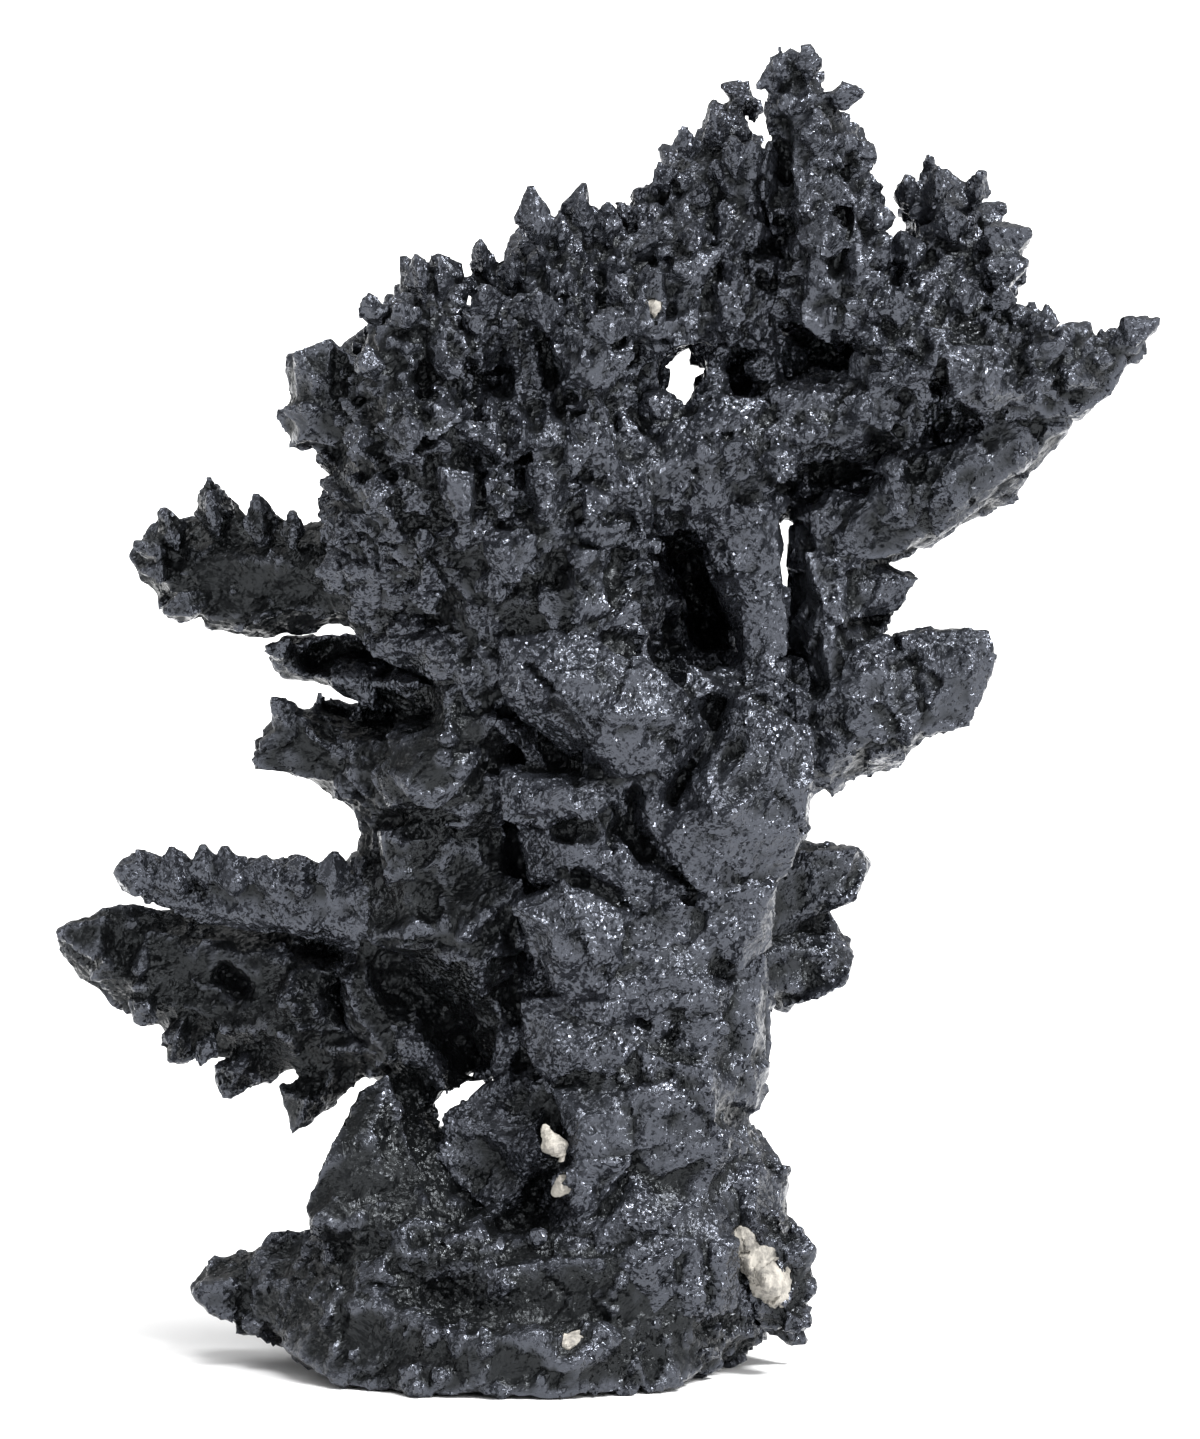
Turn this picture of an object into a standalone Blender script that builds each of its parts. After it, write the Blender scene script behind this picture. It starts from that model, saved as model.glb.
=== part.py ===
"""Branching argentite specimen: dark metallic crystals grown into a tree on a flat-cut foot.

Metres, +Z up. The front of the specimen faces -Y, and +X is to the right of that face.
Every branch is drawn in millimetres as it shows in the front elevation, which looks down
by DRAWING_TILT: a point is (across, up, depth), with depth growing towards the back.
"""

import math
import random

import bmesh
import bpy
from mathutils import Vector

# --- driving dimensions ---------------------------------------------------------------
MM = 0.001                          # one drawing millimetre, in metres
DRAWING_TILT = math.radians(7.0)    # the front elevation looks down by this angle
FOOT_LINE = 0.9                     # the drawing's zero line lies this far up the floor, mm
GAP = 0.35                          # clearance between neighbouring solids, mm
LIMB_SIDES = 6                      # corners of a limb's cross-section
CRYSTAL_WAIST = 0.58                # a crystal is widest at this share of its length
TOOTH_LEAN = 0.45                   # how far a tooth leans towards its limb's tip
STUD_SPREAD = math.radians(45)      # studs turn this far from straight front or back
STUD_ZONE = 0.88                    # studs keep off the last share of a limb
STUD_REACH = (1.15, 1.4)            # a stud's tip, in half depths of its limb
STUD_WIDTH = (0.55, 0.75)           # a stud's half width, in half sizes of its limb
CLOSE_ENOUGH = 1e-6                 # merge distance for coincident points, metres
WAIST_GROWTH = 1.2                  # a grown crystal's waist moves out this many gaps
TIP_GROWTH = 2.0                    # and its tips this many, so that its faces move out by one
SLIVERS = (0.00012, 0.00006, 0.00002, 0.000002)   # edges this short are closed up, metres
FLAT_ENOUGH = math.radians(0.5)     # faces this close to one plane are one face
FLOOR_BLOCK = Vector((0.08, 0.08, 0.02))  # slab that cuts the underside flat, metres

SPECIMEN = "argentite_specimen"


# --- drawing to world -----------------------------------------------------------------
def place(across, up, depth):
    """World position of a drawing point; the drawing plane is tilted by DRAWING_TILT."""
    height = up - FOOT_LINE - depth * math.sin(DRAWING_TILT)
    return Vector((across, depth, height / math.cos(DRAWING_TILT))) * MM


def cross_axes(along):
    """Two unit vectors square to a direction: one in the drawing plane, one to the back."""
    back = Vector((0, 1, 0)) if abs(along.y) < 0.8 else Vector((1, 0, 0))
    side = along.cross(back).normalized()
    return side, side.cross(along)


class Limb:
    """A tapering stem: a chain of stations (across, up, depth, half height, half depth)."""

    def __init__(self, stations):
        self.centres = [place(*station[:3]) for station in stations]
        self.heights = [station[3] * MM for station in stations]
        self.depths = [station[4] * MM for station in stations]

    def section(self, index, grow):
        """Corners of the cross-section: a hexagon with one corner up and one down."""
        last = len(self.centres) - 1
        before = self.centres[max(index - 1, 0)]
        after = self.centres[min(index + 1, last)]
        along = (after - before).normalized()
        side, back = cross_axes(along)
        centre = self.centres[index] + along * {0: -grow, last: grow}.get(index, 0.0)
        corners = []
        for corner in range(LIMB_SIDES):
            turn = 2 * math.pi * corner / LIMB_SIDES
            reach_side = (self.heights[index] + grow) * math.cos(turn)
            reach_back = (self.depths[index] + grow) * math.sin(turn)
            corners.append(centre + side * reach_side + back * reach_back)
        return corners

    def nearest(self, point):
        """Distance, closest point and direction of the stem's axis for a point."""
        best = None
        for start, end in zip(self.centres, self.centres[1:]):
            span = end - start
            share = max(0.0, min(1.0, (point - start).dot(span) / span.length_squared))
            spot = start + span * share
            distance = (point - spot).length
            if best is None or distance < best[0]:
                best = (distance, spot, span.normalized())
        return best

    def tooth(self, across, up, depth, half_width):
        """A crystal from the stem's axis to this tip, leaning towards the stem's end."""
        tip = place(across, up, depth)
        distance, spot, along = self.nearest(tip)
        root = self.nearest(spot - along * distance * TOOTH_LEAN)[1]
        return Crystal(root, tip, half_width)

    def stud(self, share, turn, reach, half_width):
        """A crystal out of the stem at a share of its length, towards an angle round it.

        Its reach is in half depths of the stem there, its half width in the smaller half size.
        """
        position = share * (len(self.centres) - 1)
        index = min(int(position), len(self.centres) - 2)
        blend = position - index
        root = self.centres[index].lerp(self.centres[index + 1], blend)
        height = self.heights[index] * (1 - blend) + self.heights[index + 1] * blend
        depth = self.depths[index] * (1 - blend) + self.depths[index + 1] * blend
        along = (self.centres[index + 1] - self.centres[index]).normalized()
        side, back = cross_axes(along)
        out = side * height * math.cos(turn) + back * depth * math.sin(turn)
        tip = root + out * reach + along * out.length * TOOTH_LEAN * 0.5
        return Crystal(root, tip, half_width * min(height, depth) / MM)


class Crystal:
    """A stretched octahedron from a buried root to a free tip."""

    def __init__(self, root, tip, half_width):
        self.root = root
        self.tip = tip
        self.half_width = half_width * MM

    def corners(self, grow):
        """Root, tip and four waist corners; a grown copy clears the crystal all round."""
        along = (self.tip - self.root).normalized()
        side, back = cross_axes(along)
        waist = self.root.lerp(self.tip, CRYSTAL_WAIST)
        reach = self.half_width + grow * WAIST_GROWTH
        corners = [waist + arm * reach for arm in (side, back, -side, -back)]
        return corners + [self.root - along * grow * TIP_GROWTH, self.tip + along * grow * TIP_GROWTH]


def branch(stations, tips, studs, seed):
    """A limb with its drawn teeth, and seeded studs over its front and back."""
    limb = Limb(stations)
    shapes = [limb] + [limb.tooth(*tip) for tip in tips]
    chance = random.Random(seed)
    for number in range(studs):
        facing = -math.pi / 2 if number % 2 else math.pi / 2
        turn = facing + chance.uniform(-STUD_SPREAD, STUD_SPREAD)
        share = STUD_ZONE * (number + chance.uniform(0.2, 0.8)) / studs
        shapes.append(limb.stud(share, turn, chance.uniform(*STUD_REACH), chance.uniform(*STUD_WIDTH)))
    return shapes


# --- the branches, from the foot up ------------------------------------------------------
def trunk_lower():
    left_plate = Crystal(place(2.0, 8.8, -1.0), place(-6.5, 11.1, -1.6), 3.1)
    return [left_plate] + branch(
        [(1.6, 4.5, -0.3, 4.9, 5.8), (1.7, 8, -0.3, 4.8, 5.6), (1.6, 12, -0.5, 4.7, 5.2),
         (2.0, 16.2, -0.5, 5.0, 5.2)],
        [(-3.5, 12.8, -2.5, 1.6), (-3.2, 15.6, -3.0, 1.6), (7.0, 15.2, -0.5, 1.0)],
        7, 11)


def trunk_upper():
    back_spur = Crystal(place(2.4, 22.0, 0.5), place(4.6, 25.4, 9.8), 2.9)
    back_block = Crystal(place(1.0, 18.0, 0.5), place(-0.6, 20.4, 8.6), 2.6)
    block = Crystal(place(-3.6, 29.0, -3.2), place(4.3, 26.5, -5.4), 2.9)
    plate = Crystal(place(3.0, 20.5, -2.4), place(7.8, 26.4, -5.2), 3.0)
    lower_block = Crystal(place(-1.0, 16.4, -3.8), place(-1.6, 20.9, -5.6), 2.0)
    middle_block = Crystal(place(0.8, 21.8, -3.2), place(-2.6, 25.2, -5.6), 1.9)
    return [block, plate, lower_block, middle_block, back_spur, back_block] + branch(
        [(2.0, 15.8, -0.5, 4.9, 5.2), (2.3, 20, -0.4, 5.1, 5.2), (2.8, 24.5, -0.4, 5.7, 5.2),
         (2.8, 28.2, 0, 5.6, 5.2)],
        [(8.9, 24.6, -0.5, 1.5), (7.8, 22.2, -0.5, 1.2), (-3.8, 26.6, -4.0, 1.6)],
        4, 12)


def foot():
    collar = Limb([(-8.4, 4.2, -0.4, 1.8, 4.6), (-4.0, 4.9, -0.6, 2.5, 6.8),
                   (1.0, 5.2, -0.6, 2.9, 7.4), (4.6, 5.4, -0.2, 2.3, 5.6)])
    return [collar] + branch(
        [(-13.0, 3.7, 1.2, 1.7, 2.6), (-10.6, 2.9, 0.4, 2.7, 5.6), (-6.5, 1.9, -0.2, 3.8, 8.8),
         (-1.0, 1.6, -0.3, 4.0, 9.4), (2.8, 2.4, 0.0, 3.2, 7.4), (5.6, 3.8, 0.2, 2.1, 3.6)],
        [(-6.4, 6.4, -4.9, 1.7), (-2.0, 7.2, -6.2, 1.9), (3.6, 7.4, -5.2, 1.8)],
        3, 45)


def foot_spear_left():
    return branch(
        [(-10.6, 4.0, 1.4, 2.3, 2.8), (-13.4, 3.95, 2.0, 1.9, 2.2), (-15.6, 3.9, 2.6, 1.2, 1.3),
         (-16.6, 3.9, 2.9, 0.25, 0.3)],
        [(-13.7, 6.0, 1.8, 0.9), (-15.4, 5.5, 2.2, 0.7), (-15.4, 2.4, 2.2, 0.7),
         (-13.4, 1.8, 1.4, 0.9)],
        3, 14)


def foot_fin():
    return branch(
        [(-6.6, 4.6, -0.8, 5.2, 5.2), (-7.8, 7.8, -0.2, 3.9, 4.0), (-8.3, 10.3, 0.8, 2.2, 2.6),
         (-8.7, 12.2, 1.3, 0.8, 0.9)],
        [(-12.1, 7.6, 0.0, 1.3), (-11.5, 9.0, 0.3, 1.1), (-10.9, 10.2, 0.6, 0.9),
         (-9.8, 11.6, 0.9, 0.7)],
        4, 15)


def foot_knob_right():
    return branch(
        [(6.6, 2.6, 0.4, 1.5, 3.0), (6.9, 5.0, 0.4, 1.7, 3.8), (6.0, 8.0, 0.2, 1.1, 3.2),
         (5.6, 10.2, 0.2, 0.6, 1.6)],
        [(8.4, 1.8, 0.4, 0.8), (6.5, 1.7, 0.2, 0.8), (8.8, 3.2, 0.6, 0.9), (8.9, 5.4, 0.6, 1.0),
         (7.4, 8.2, 0.4, 0.9), (7.2, 9.3, 0.6, 0.8)],
        3, 16)


def left_shoulder():
    low_join = Crystal(place(-6.6, 17.6, 0.8), place(-3.0, 20.4, -3.6), 2.3)
    middle_join = Crystal(place(-7.0, 22.4, 0.2), place(-3.2, 24.6, -4.0), 2.3)
    high_join = Crystal(place(-6.6, 27.2, 0.0), place(-3.2, 29.6, -4.2), 2.2)
    return [low_join, middle_join, high_join] + branch(
        [(-4.6, 12.5, 1.8, 2.9, 3.0), (-5.8, 16.0, 2.0, 3.6, 4.0), (-5.9, 21.5, 1.4, 3.7, 4.3),
         (-5.6, 26.5, 0.8, 3.7, 4.2), (-5.6, 30.5, 0.4, 3.7, 3.9)],
        [(-10.0, 21.6, 0.6, 1.4), (-9.5, 24.2, 0.4, 1.4), (-9.8, 18.8, 1.0, 1.4),
         (-9.0, 22.4, -2.0, 1.7), (-8.4, 26.4, -2.8, 1.8)],
        4, 17)


def lower_left_spear():
    return branch(
        [(-5.2, 15.2, 2.4, 3.1, 3.0), (-10.4, 15.7, 3.8, 3.1, 2.9), (-14.5, 16.2, 5.0, 2.9, 2.4),
         (-18.6, 17.2, 6.2, 2.3, 1.8), (-20.6, 18.0, 6.9, 1.4, 1.0), (-21.9, 18.05, 7.2, 0.2, 0.2)],
        [(-20.3, 16.2, 6.0, 0.7), (-18.7, 14.2, 5.4, 0.9), (-17.45, 12.8, 4.8, 1.2),
         (-16.1, 12.8, 5.0, 0.8), (-14.9, 11.5, 4.4, 1.2), (-12.5, 10.5, 3.8, 1.4),
         (-10.4, 12.0, 3.4, 1.2), (-20.2, 19.5, 6.8, 0.7), (-18.8, 19.7, 6.4, 0.9)],
        6, 18)


def lower_left_bar():
    return branch(
        [(-6.0, 19.6, 1.6, 2.0, 2.4), (-10.0, 19.8, 2.0, 1.9, 2.2), (-14.0, 20.0, 2.8, 1.6, 1.8),
         (-17.4, 20.4, 3.8, 1.2, 1.3), (-19.3, 20.7, 4.5, 0.6, 0.6)],
        [(-19.3, 21.4, 4.2, 0.6), (-18.5, 21.9, 3.8, 0.8), (-14.8, 21.9, 2.6, 0.9),
         (-11.4, 22.0, 2.0, 0.9), (-15.8, 18.6, 2.8, 0.9)],
        4, 19)


def left_arm_low():
    return branch(
        [(-7.0, 25.0, 1.2, 2.0, 2.4), (-10.0, 25.5, 2.2, 2.0, 2.0), (-12.6, 25.7, 3.2, 1.4, 1.3),
         (-13.9, 25.2, 3.8, 0.2, 0.2)],
        [(-12.9, 27.5, 3.2, 0.8), (-11.2, 28.0, 2.6, 1.0), (-13.2, 24.5, 3.4, 0.7),
         (-11.2, 23.7, 2.4, 1.0)],
        4, 20)


def left_arm_high():
    return branch(
        [(-7.0, 28.9, 0.8, 1.5, 2.2), (-10.2, 29.0, 2.0, 1.2, 1.5), (-12.2, 29.3, 3.0, 0.8, 1.0),
         (-13.2, 29.3, 3.4, 0.2, 0.2)],
        [(-12.6, 30.3, 3.0, 0.6), (-12.4, 28.3, 2.9, 0.6), (-10.6, 27.9, 2.0, 0.7)],
        2, 21)


def left_upper_spear():
    return branch(
        [(-8.0, 32.9, 0.8, 2.1, 2.4), (-11.4, 32.8, 2.2, 2.5, 2.5), (-14.6, 32.7, 3.6, 2.6, 2.2),
         (-17.2, 33.1, 4.8, 1.9, 1.4), (-18.7, 33.8, 5.4, 0.2, 0.2)],
        [(-17.5, 35.3, 4.8, 0.9), (-15.6, 36.5, 3.6, 1.2), (-13.6, 36.1, 3.0, 1.1),
         (-12.3, 35.7, 2.4, 1.0), (-18.5, 32.4, 5.0, 0.7), (-17.7, 31.1, 4.4, 1.0),
         (-15.6, 30.1, 3.6, 1.1), (-13.4, 29.9, 2.8, 1.1)],
        5, 22)


def stub_upper_right():
    return branch(
        [(5.4, 19.6, 3.0, 2.2, 2.4), (8.2, 20.3, 4.2, 1.8, 1.8), (10.0, 20.75, 5.0, 0.9, 0.9),
         (10.9, 20.8, 5.4, 0.2, 0.2)],
        [(10.2, 19.9, 4.8, 0.6), (9.3, 22.1, 4.4, 0.9)],
        3, 23)


def stub_lower_right():
    return branch(
        [(5.2, 16.8, 2.8, 1.7, 2.2), (8.0, 17.1, 3.8, 1.4, 1.6), (9.5, 17.7, 4.4, 0.7, 0.8),
         (10.2, 18.0, 4.7, 0.2, 0.2)],
        [(10.1, 16.9, 4.4, 0.5), (8.0, 15.0, 3.4, 0.9), (9.3, 18.8, 4.2, 0.6)],
        3, 24)


def right_fan():
    upright = branch(
        [(9.5, 26.8, -0.6, 1.8, 2.2), (9.5, 31.0, -0.8, 1.7, 2.1), (9.6, 35.2, -0.6, 1.8, 2.0)],
        [(12.6, 32.3, -0.8, 1.5), (11.6, 30.4, -1.0, 1.4)], 3, 25)
    return upright + branch(
        [(7.6, 25.8, -0.4, 2.2, 2.8), (10.4, 27.5, -1.4, 2.9, 2.6), (13.2, 28.4, -2.4, 2.2, 2.0),
         (15.0, 29.3, -3.0, 1.0, 1.0), (16.0, 29.6, -3.3, 0.2, 0.2)],
        [(9.6, 24.4, -1.0, 1.1), (11.4, 24.6, -1.6, 1.0), (14.1, 26.1, -2.6, 0.9),
         (15.2, 27.7, -3.0, 0.7), (15.2, 30.5, -3.0, 0.8), (13.3, 30.7, -2.4, 1.1)],
        4, 26)


def pillar():
    return branch(
        [(6.4, 27.4, -1.4, 1.1, 1.8), (6.5, 30.0, -1.6, 0.95, 1.6), (5.9, 32.8, -1.8, 1.5, 1.6),
         (5.8, 35.6, -2.0, 1.9, 1.8)],
        [(4.0, 34.4, -2.2, 0.9)],
        2, 27)


def back_wall():
    bridge = branch(
        [(4.0, 37.2, 2.0, 2.2, 2.4), (9.0, 37.0, 1.6, 2.2, 2.2), (12.4, 37.8, 1.0, 2.0, 2.0),
         (15.6, 39.4, 0.4, 1.4, 1.6)],
        [(9.6, 35.0, 1.4, 1.2), (10.2, 38.6, 5.6, 1.6)], 2, 28)
    back_spur = Crystal(place(3.6, 32.6, 3.0), place(6.2, 36.6, 10.4), 2.3)
    return bridge + [back_spur] + branch(
        [(3.8, 27.2, 3.0, 4.3, 2.6), (3.2, 31.0, 3.2, 3.7, 2.4), (3.4, 35.0, 2.6, 3.8, 2.6),
         (3.8, 38.2, 1.8, 2.6, 2.4)],
        [], 3, 29)


def neck():
    back_spur = Crystal(place(-3.0, 32.0, 1.0), place(-5.6, 36.4, 9.6), 2.9)
    tuft_low = Crystal(place(-1.4, 32.4, -2.8), place(-3.7, 34.4, -5.8), 1.5)
    return [tuft_low, back_spur] + branch(
        [(-1.8, 29.4, 0.2, 4.4, 4.9), (-2.8, 32.6, -0.2, 5.0, 4.9), (-4.2, 35.6, -0.8, 5.6, 4.9)],
        [(-12.0, 33.2, -1.8, 2.0), (-10.2, 31.0, -1.4, 1.6), (-11.2, 35.0, -0.8, 1.8),
         (-0.5, 30.4, -5.0, 1.6), (1.8, 31.6, -5.0, 1.7), (2.8, 33.4, -4.2, 1.6),
         (-5.4, 31.2, -5.0, 1.7)],
        4, 30)


def left_crown_outer():
    side_block = Limb([(-7.6, 39.8, -1.4, 2.0, 2.2), (-11.9, 39.8, -1.4, 1.7, 1.5)])
    return [side_block] + branch(
        [(-6.0, 34.6, -0.8, 4.2, 4.8), (-7.5, 37.8, -2.2, 3.6, 5.4), (-7.4, 41.0, -2.8, 2.7, 4.6),
         (-6.9, 43.8, -2.8, 1.7, 2.6)],
        [(-10.9, 36.9, -0.8, 0.9), (-12.1, 37.9, -1.0, 0.9), (-12.3, 41.6, -1.0, 0.9),
         (-9.6, 43.4, -1.0, 0.9), (-7.9, 45.1, -1.0, 0.8), (-7.0, 45.4, -0.8, 0.9),
         (-6.0, 45.0, -0.6, 0.9), (-6.6, 36.6, -6.4, 1.4), (-5.3, 34.6, -5.8, 1.4),
         (-8.2, 35.8, -5.6, 1.4)],
        7, 31)


def left_crown_inner():
    right_face = Crystal(place(-1.0, 41.4, -1.6), place(3.2, 44.4, -3.2), 2.4)
    right_top = Crystal(place(-0.4, 43.4, -0.6), place(2.8, 46.8, -2.2), 1.8)
    front_low = Crystal(place(-2.6, 39.0, -1.6), place(-4.6, 37.6, -7.0), 2.0)
    front_high = Crystal(place(-2.4, 41.0, -1.0), place(-4.6, 42.6, -6.0), 2.0)
    return [right_face, right_top, front_low, front_high] + branch(
        [(-1.6, 35.2, -0.4, 3.6, 5.0), (-1.9, 38.4, -0.6, 3.8, 6.0), (-1.3, 41.6, 0.0, 4.1, 5.8),
         (-0.2, 44.2, 0.6, 3.4, 4.4), (0.8, 46.4, 1.0, 1.8, 2.4)],
        [(-5.6, 44.7, -0.4, 0.9), (-4.4, 45.9, 0.4, 0.9), (-2.5, 47.9, 0.6, 0.8),
         (-0.4, 48.1, 1.0, 0.7), (1.0, 47.7, 1.0, 0.9), (2.1, 47.6, 0.6, 0.9),
         (2.6, 43.0, -1.8, 1.5), (1.8, 40.9, -1.8, 1.2), (-4.4, 34.2, -6.0, 1.5),
         (-1.9, 34.9, -5.8, 1.4), (1.7, 38.4, -3.6, 1.5)],
        7, 32)


def beam():
    recess_wall = Limb([(4.3, 40.9, 1.4, 1.4, 1.5), (8.2, 41.2, 1.4, 1.8, 1.6),
                        (11.6, 41.6, 0.6, 1.8, 2.0)])
    return [recess_wall] + branch(
        [(1.2, 36.2, -2.0, 2.2, 2.7), (4.6, 37.3, -2.4, 2.1, 2.5), (8.6, 38.5, -2.4, 1.6, 2.3),
         (12.6, 39.6, -2.2, 1.8, 2.4)],
        [(2.8, 40.4, -2.2, 1.1), (5.0, 42.2, -1.8, 1.0), (7.1, 42.4, -1.8, 1.0),
         (7.2, 35.9, -4.0, 1.3), (12.0, 37.1, -4.2, 1.4), (1.6, 33.4, -2.6, 1.6)],
        4, 33)


def right_blade():
    return branch(
        [(9.4, 34.8, -0.2, 1.7, 2.2), (12.4, 35.5, -1.0, 2.0, 2.4), (15.5, 37.3, -1.4, 1.9, 2.3),
         (18.2, 39.3, -1.6, 1.1, 1.3)],
        [(12.6, 33.3, -0.6, 1.1), (14.9, 34.7, -0.8, 0.9), (17.5, 37.6, -1.2, 0.7)],
        4, 34)


def right_cluster():
    return branch(
        [(10.8, 41.2, -2.0, 2.4, 3.0), (14.0, 41.2, -2.4, 2.6, 3.2), (17.4, 40.8, -2.8, 2.1, 2.7),
         (19.8, 41.2, -3.2, 1.2, 1.6), (21.9, 42.4, -3.6, 0.35, 0.35)],
        [(18.7, 38.7, -2.8, 0.8), (20.0, 39.5, -3.0, 0.7), (20.8, 41.2, -3.4, 0.5),
         (19.9, 42.8, -3.2, 0.9), (17.8, 43.1, -2.8, 1.1), (21.6, 43.0, -3.5, 0.5),
         (15.4, 39.3, -4.2, 1.3), (13.2, 39.6, -4.4, 1.3)],
        6, 35)


def upper_right_cluster():
    return branch(
        [(13.6, 42.4, -0.6, 2.6, 3.0), (14.4, 45.0, 0.8, 2.6, 3.0), (14.0, 47.2, 1.8, 1.8, 2.2)],
        [(17.6, 45.2, 0.8, 1.1), (17.4, 46.3, 1.2, 1.0), (15.9, 47.6, 1.8, 1.0),
         (14.5, 48.9, 2.2, 0.9), (13.1, 48.9, 2.2, 0.8), (12.0, 48.4, 1.8, 0.9)],
        4, 36)


def top_crown_left():
    behind = Crystal(place(4.4, 45.0, 0.2), place(8.8, 47.0, 1.8), 1.9)
    return [behind] + branch(
        [(4.6, 42.2, -1.0, 2.3, 3.2), (4.8, 45.6, -0.4, 2.6, 3.6), (4.8, 48.4, 0.6, 2.6, 2.9),
         (5.2, 50.6, 1.2, 1.5, 1.6)],
        [(1.9, 48.0, 0.4, 1.1), (2.4, 49.4, 0.8, 1.0), (3.4, 50.6, 1.0, 0.9),
         (4.5, 51.2, 1.2, 0.9), (5.6, 52.8, 1.4, 0.7), (6.2, 52.0, 1.4, 0.7)],
        5, 37)


def top_crown_right():
    return branch(
        [(9.6, 43.0, -1.4, 2.4, 3.2), (9.7, 46.0, -1.8, 2.4, 3.2), (8.9, 49.4, -2.0, 2.1, 2.5),
         (8.4, 52.0, -2.2, 1.3, 1.4), (8.2, 53.2, -2.2, 0.6, 0.6)],
        [(11.9, 48.1, -1.9, 0.9), (11.5, 49.6, -2.0, 0.9), (11.0, 51.6, -2.2, 0.7),
         (8.7, 53.8, -2.2, 0.7), (7.4, 53.7, -2.2, 0.7),
         (6.8, 51.9, -1.8, 0.9)],
        5, 38)


# --- pale grains set in the metal --------------------------------------------------------
def grain(across, up, depth, half_length, half_width, turn):
    """A small pale crystal grown into the surface, its length turned in the drawing."""
    reach = Vector((math.cos(turn), 0, math.sin(turn))) * half_length * MM
    centre = place(across, up, depth)
    return [Crystal(centre - reach, centre + reach, half_width)]


def grain_large():
    return grain(6.6, 5.0, -2.8, 1.7, 1.0, math.radians(-50))


def grain_upper():
    return grain(-1.9, 10.2, -4.9, 0.9, 0.5, math.radians(-70))


def grain_middle():
    return grain(-1.5, 8.6, -4.9, 0.9, 0.4, math.radians(42))


def grain_foot():
    return grain(-1.3, 2.4, -7.8, 1.0, 0.5, math.radians(0))


def grain_crown():
    return grain(2.3, 43.1, -3.6, 0.6, 0.4, math.radians(-60))


PALE_GRAINS = (grain_large, grain_upper, grain_middle, grain_foot, grain_crown)
DARK_BRANCHES = (
    trunk_lower, trunk_upper, foot, foot_spear_left, foot_fin, foot_knob_right, neck,
    left_shoulder, lower_left_spear, lower_left_bar, left_arm_low, left_arm_high,
    left_upper_spear, stub_upper_right, stub_lower_right, back_wall, pillar, right_fan,
    left_crown_inner, left_crown_outer, beam, right_blade, right_cluster, top_crown_right,
    top_crown_left, upper_right_cluster,
)


# --- meshes ---------------------------------------------------------------------------
def add_hull(bm, corners):
    """Add the convex hull of some points as a closed shell."""
    verts = [bm.verts.new(corner) for corner in corners]
    result = bmesh.ops.convex_hull(bm, input=verts)
    inside = [item for item in result["geom_interior"] if isinstance(item, bmesh.types.BMVert)]
    bmesh.ops.delete(bm, geom=inside, context="VERTS")


def add_loft(bm, limb, grow):
    """Join a limb's cross-sections into one closed shell."""
    rings = []
    for index in range(len(limb.centres)):
        rings.append([bm.verts.new(corner) for corner in limb.section(index, grow)])
    for near, far in zip(rings, rings[1:]):
        for corner in range(LIMB_SIDES):
            following = (corner + 1) % LIMB_SIDES
            bm.faces.new((near[corner], near[following], far[following], far[corner]))
    bm.faces.new(rings[0][::-1])
    bm.faces.new(rings[-1])


def shell_mesh(name, shapes, grow=0.0):
    """One mesh that holds several shapes, each as its own closed shell."""
    bm = bmesh.new()
    for shape in shapes:
        if isinstance(shape, Limb):
            add_loft(bm, shape, grow)
        else:
            add_hull(bm, shape.corners(grow))
    bmesh.ops.recalc_face_normals(bm, faces=bm.faces[:])
    mesh = bpy.data.meshes.new(name)
    bm.to_mesh(mesh)
    bm.free()
    return mesh


def add_object(name, mesh, collection):
    piece = bpy.data.objects.new(name, mesh)
    collection.objects.link(piece)
    return piece


def remove_object(piece):
    mesh = piece.data
    bpy.data.objects.remove(piece)
    bpy.data.meshes.remove(mesh)


def shells(bm):
    """Groups of faces that hang together edge to edge."""
    waiting = set(bm.faces)
    groups = []
    while waiting:
        front = [waiting.pop()]
        group = set(front)
        while front:
            for edge in front.pop().edges:
                for face in edge.link_faces:
                    if face in waiting:
                        waiting.discard(face)
                        group.add(face)
                        front.append(face)
        groups.append(group)
    return groups


def largest_body(mesh, sliver):
    """The mesh's largest shell, with coincident points merged and short edges closed up."""
    bm = bmesh.new()
    bm.from_mesh(mesh)
    bmesh.ops.remove_doubles(bm, verts=bm.verts[:], dist=CLOSE_ENOUGH)
    bmesh.ops.dissolve_limit(bm, angle_limit=FLAT_ENOUGH, verts=bm.verts[:], edges=bm.edges[:])
    bmesh.ops.dissolve_degenerate(bm, dist=sliver, edges=bm.edges[:])
    bmesh.ops.triangulate(bm, faces=bm.faces[:])
    groups = sorted(shells(bm), key=lambda group: sum(face.calc_area() for face in group))
    crumbs = [face for group in groups[:-1] for face in group]
    bmesh.ops.delete(bm, geom=crumbs, context="FACES")
    return bm


def clean(mesh):
    """Keep one closed body, closing up as many slivers as leaves it closed."""
    for sliver in SLIVERS:
        bm = largest_body(mesh, sliver)
        closed = all(len(edge.link_faces) == 2 for edge in bm.edges)
        if closed:
            bm.to_mesh(mesh)
        bm.free()
        if closed:
            return
    raise RuntimeError(mesh.name + " isn't closed")


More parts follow.
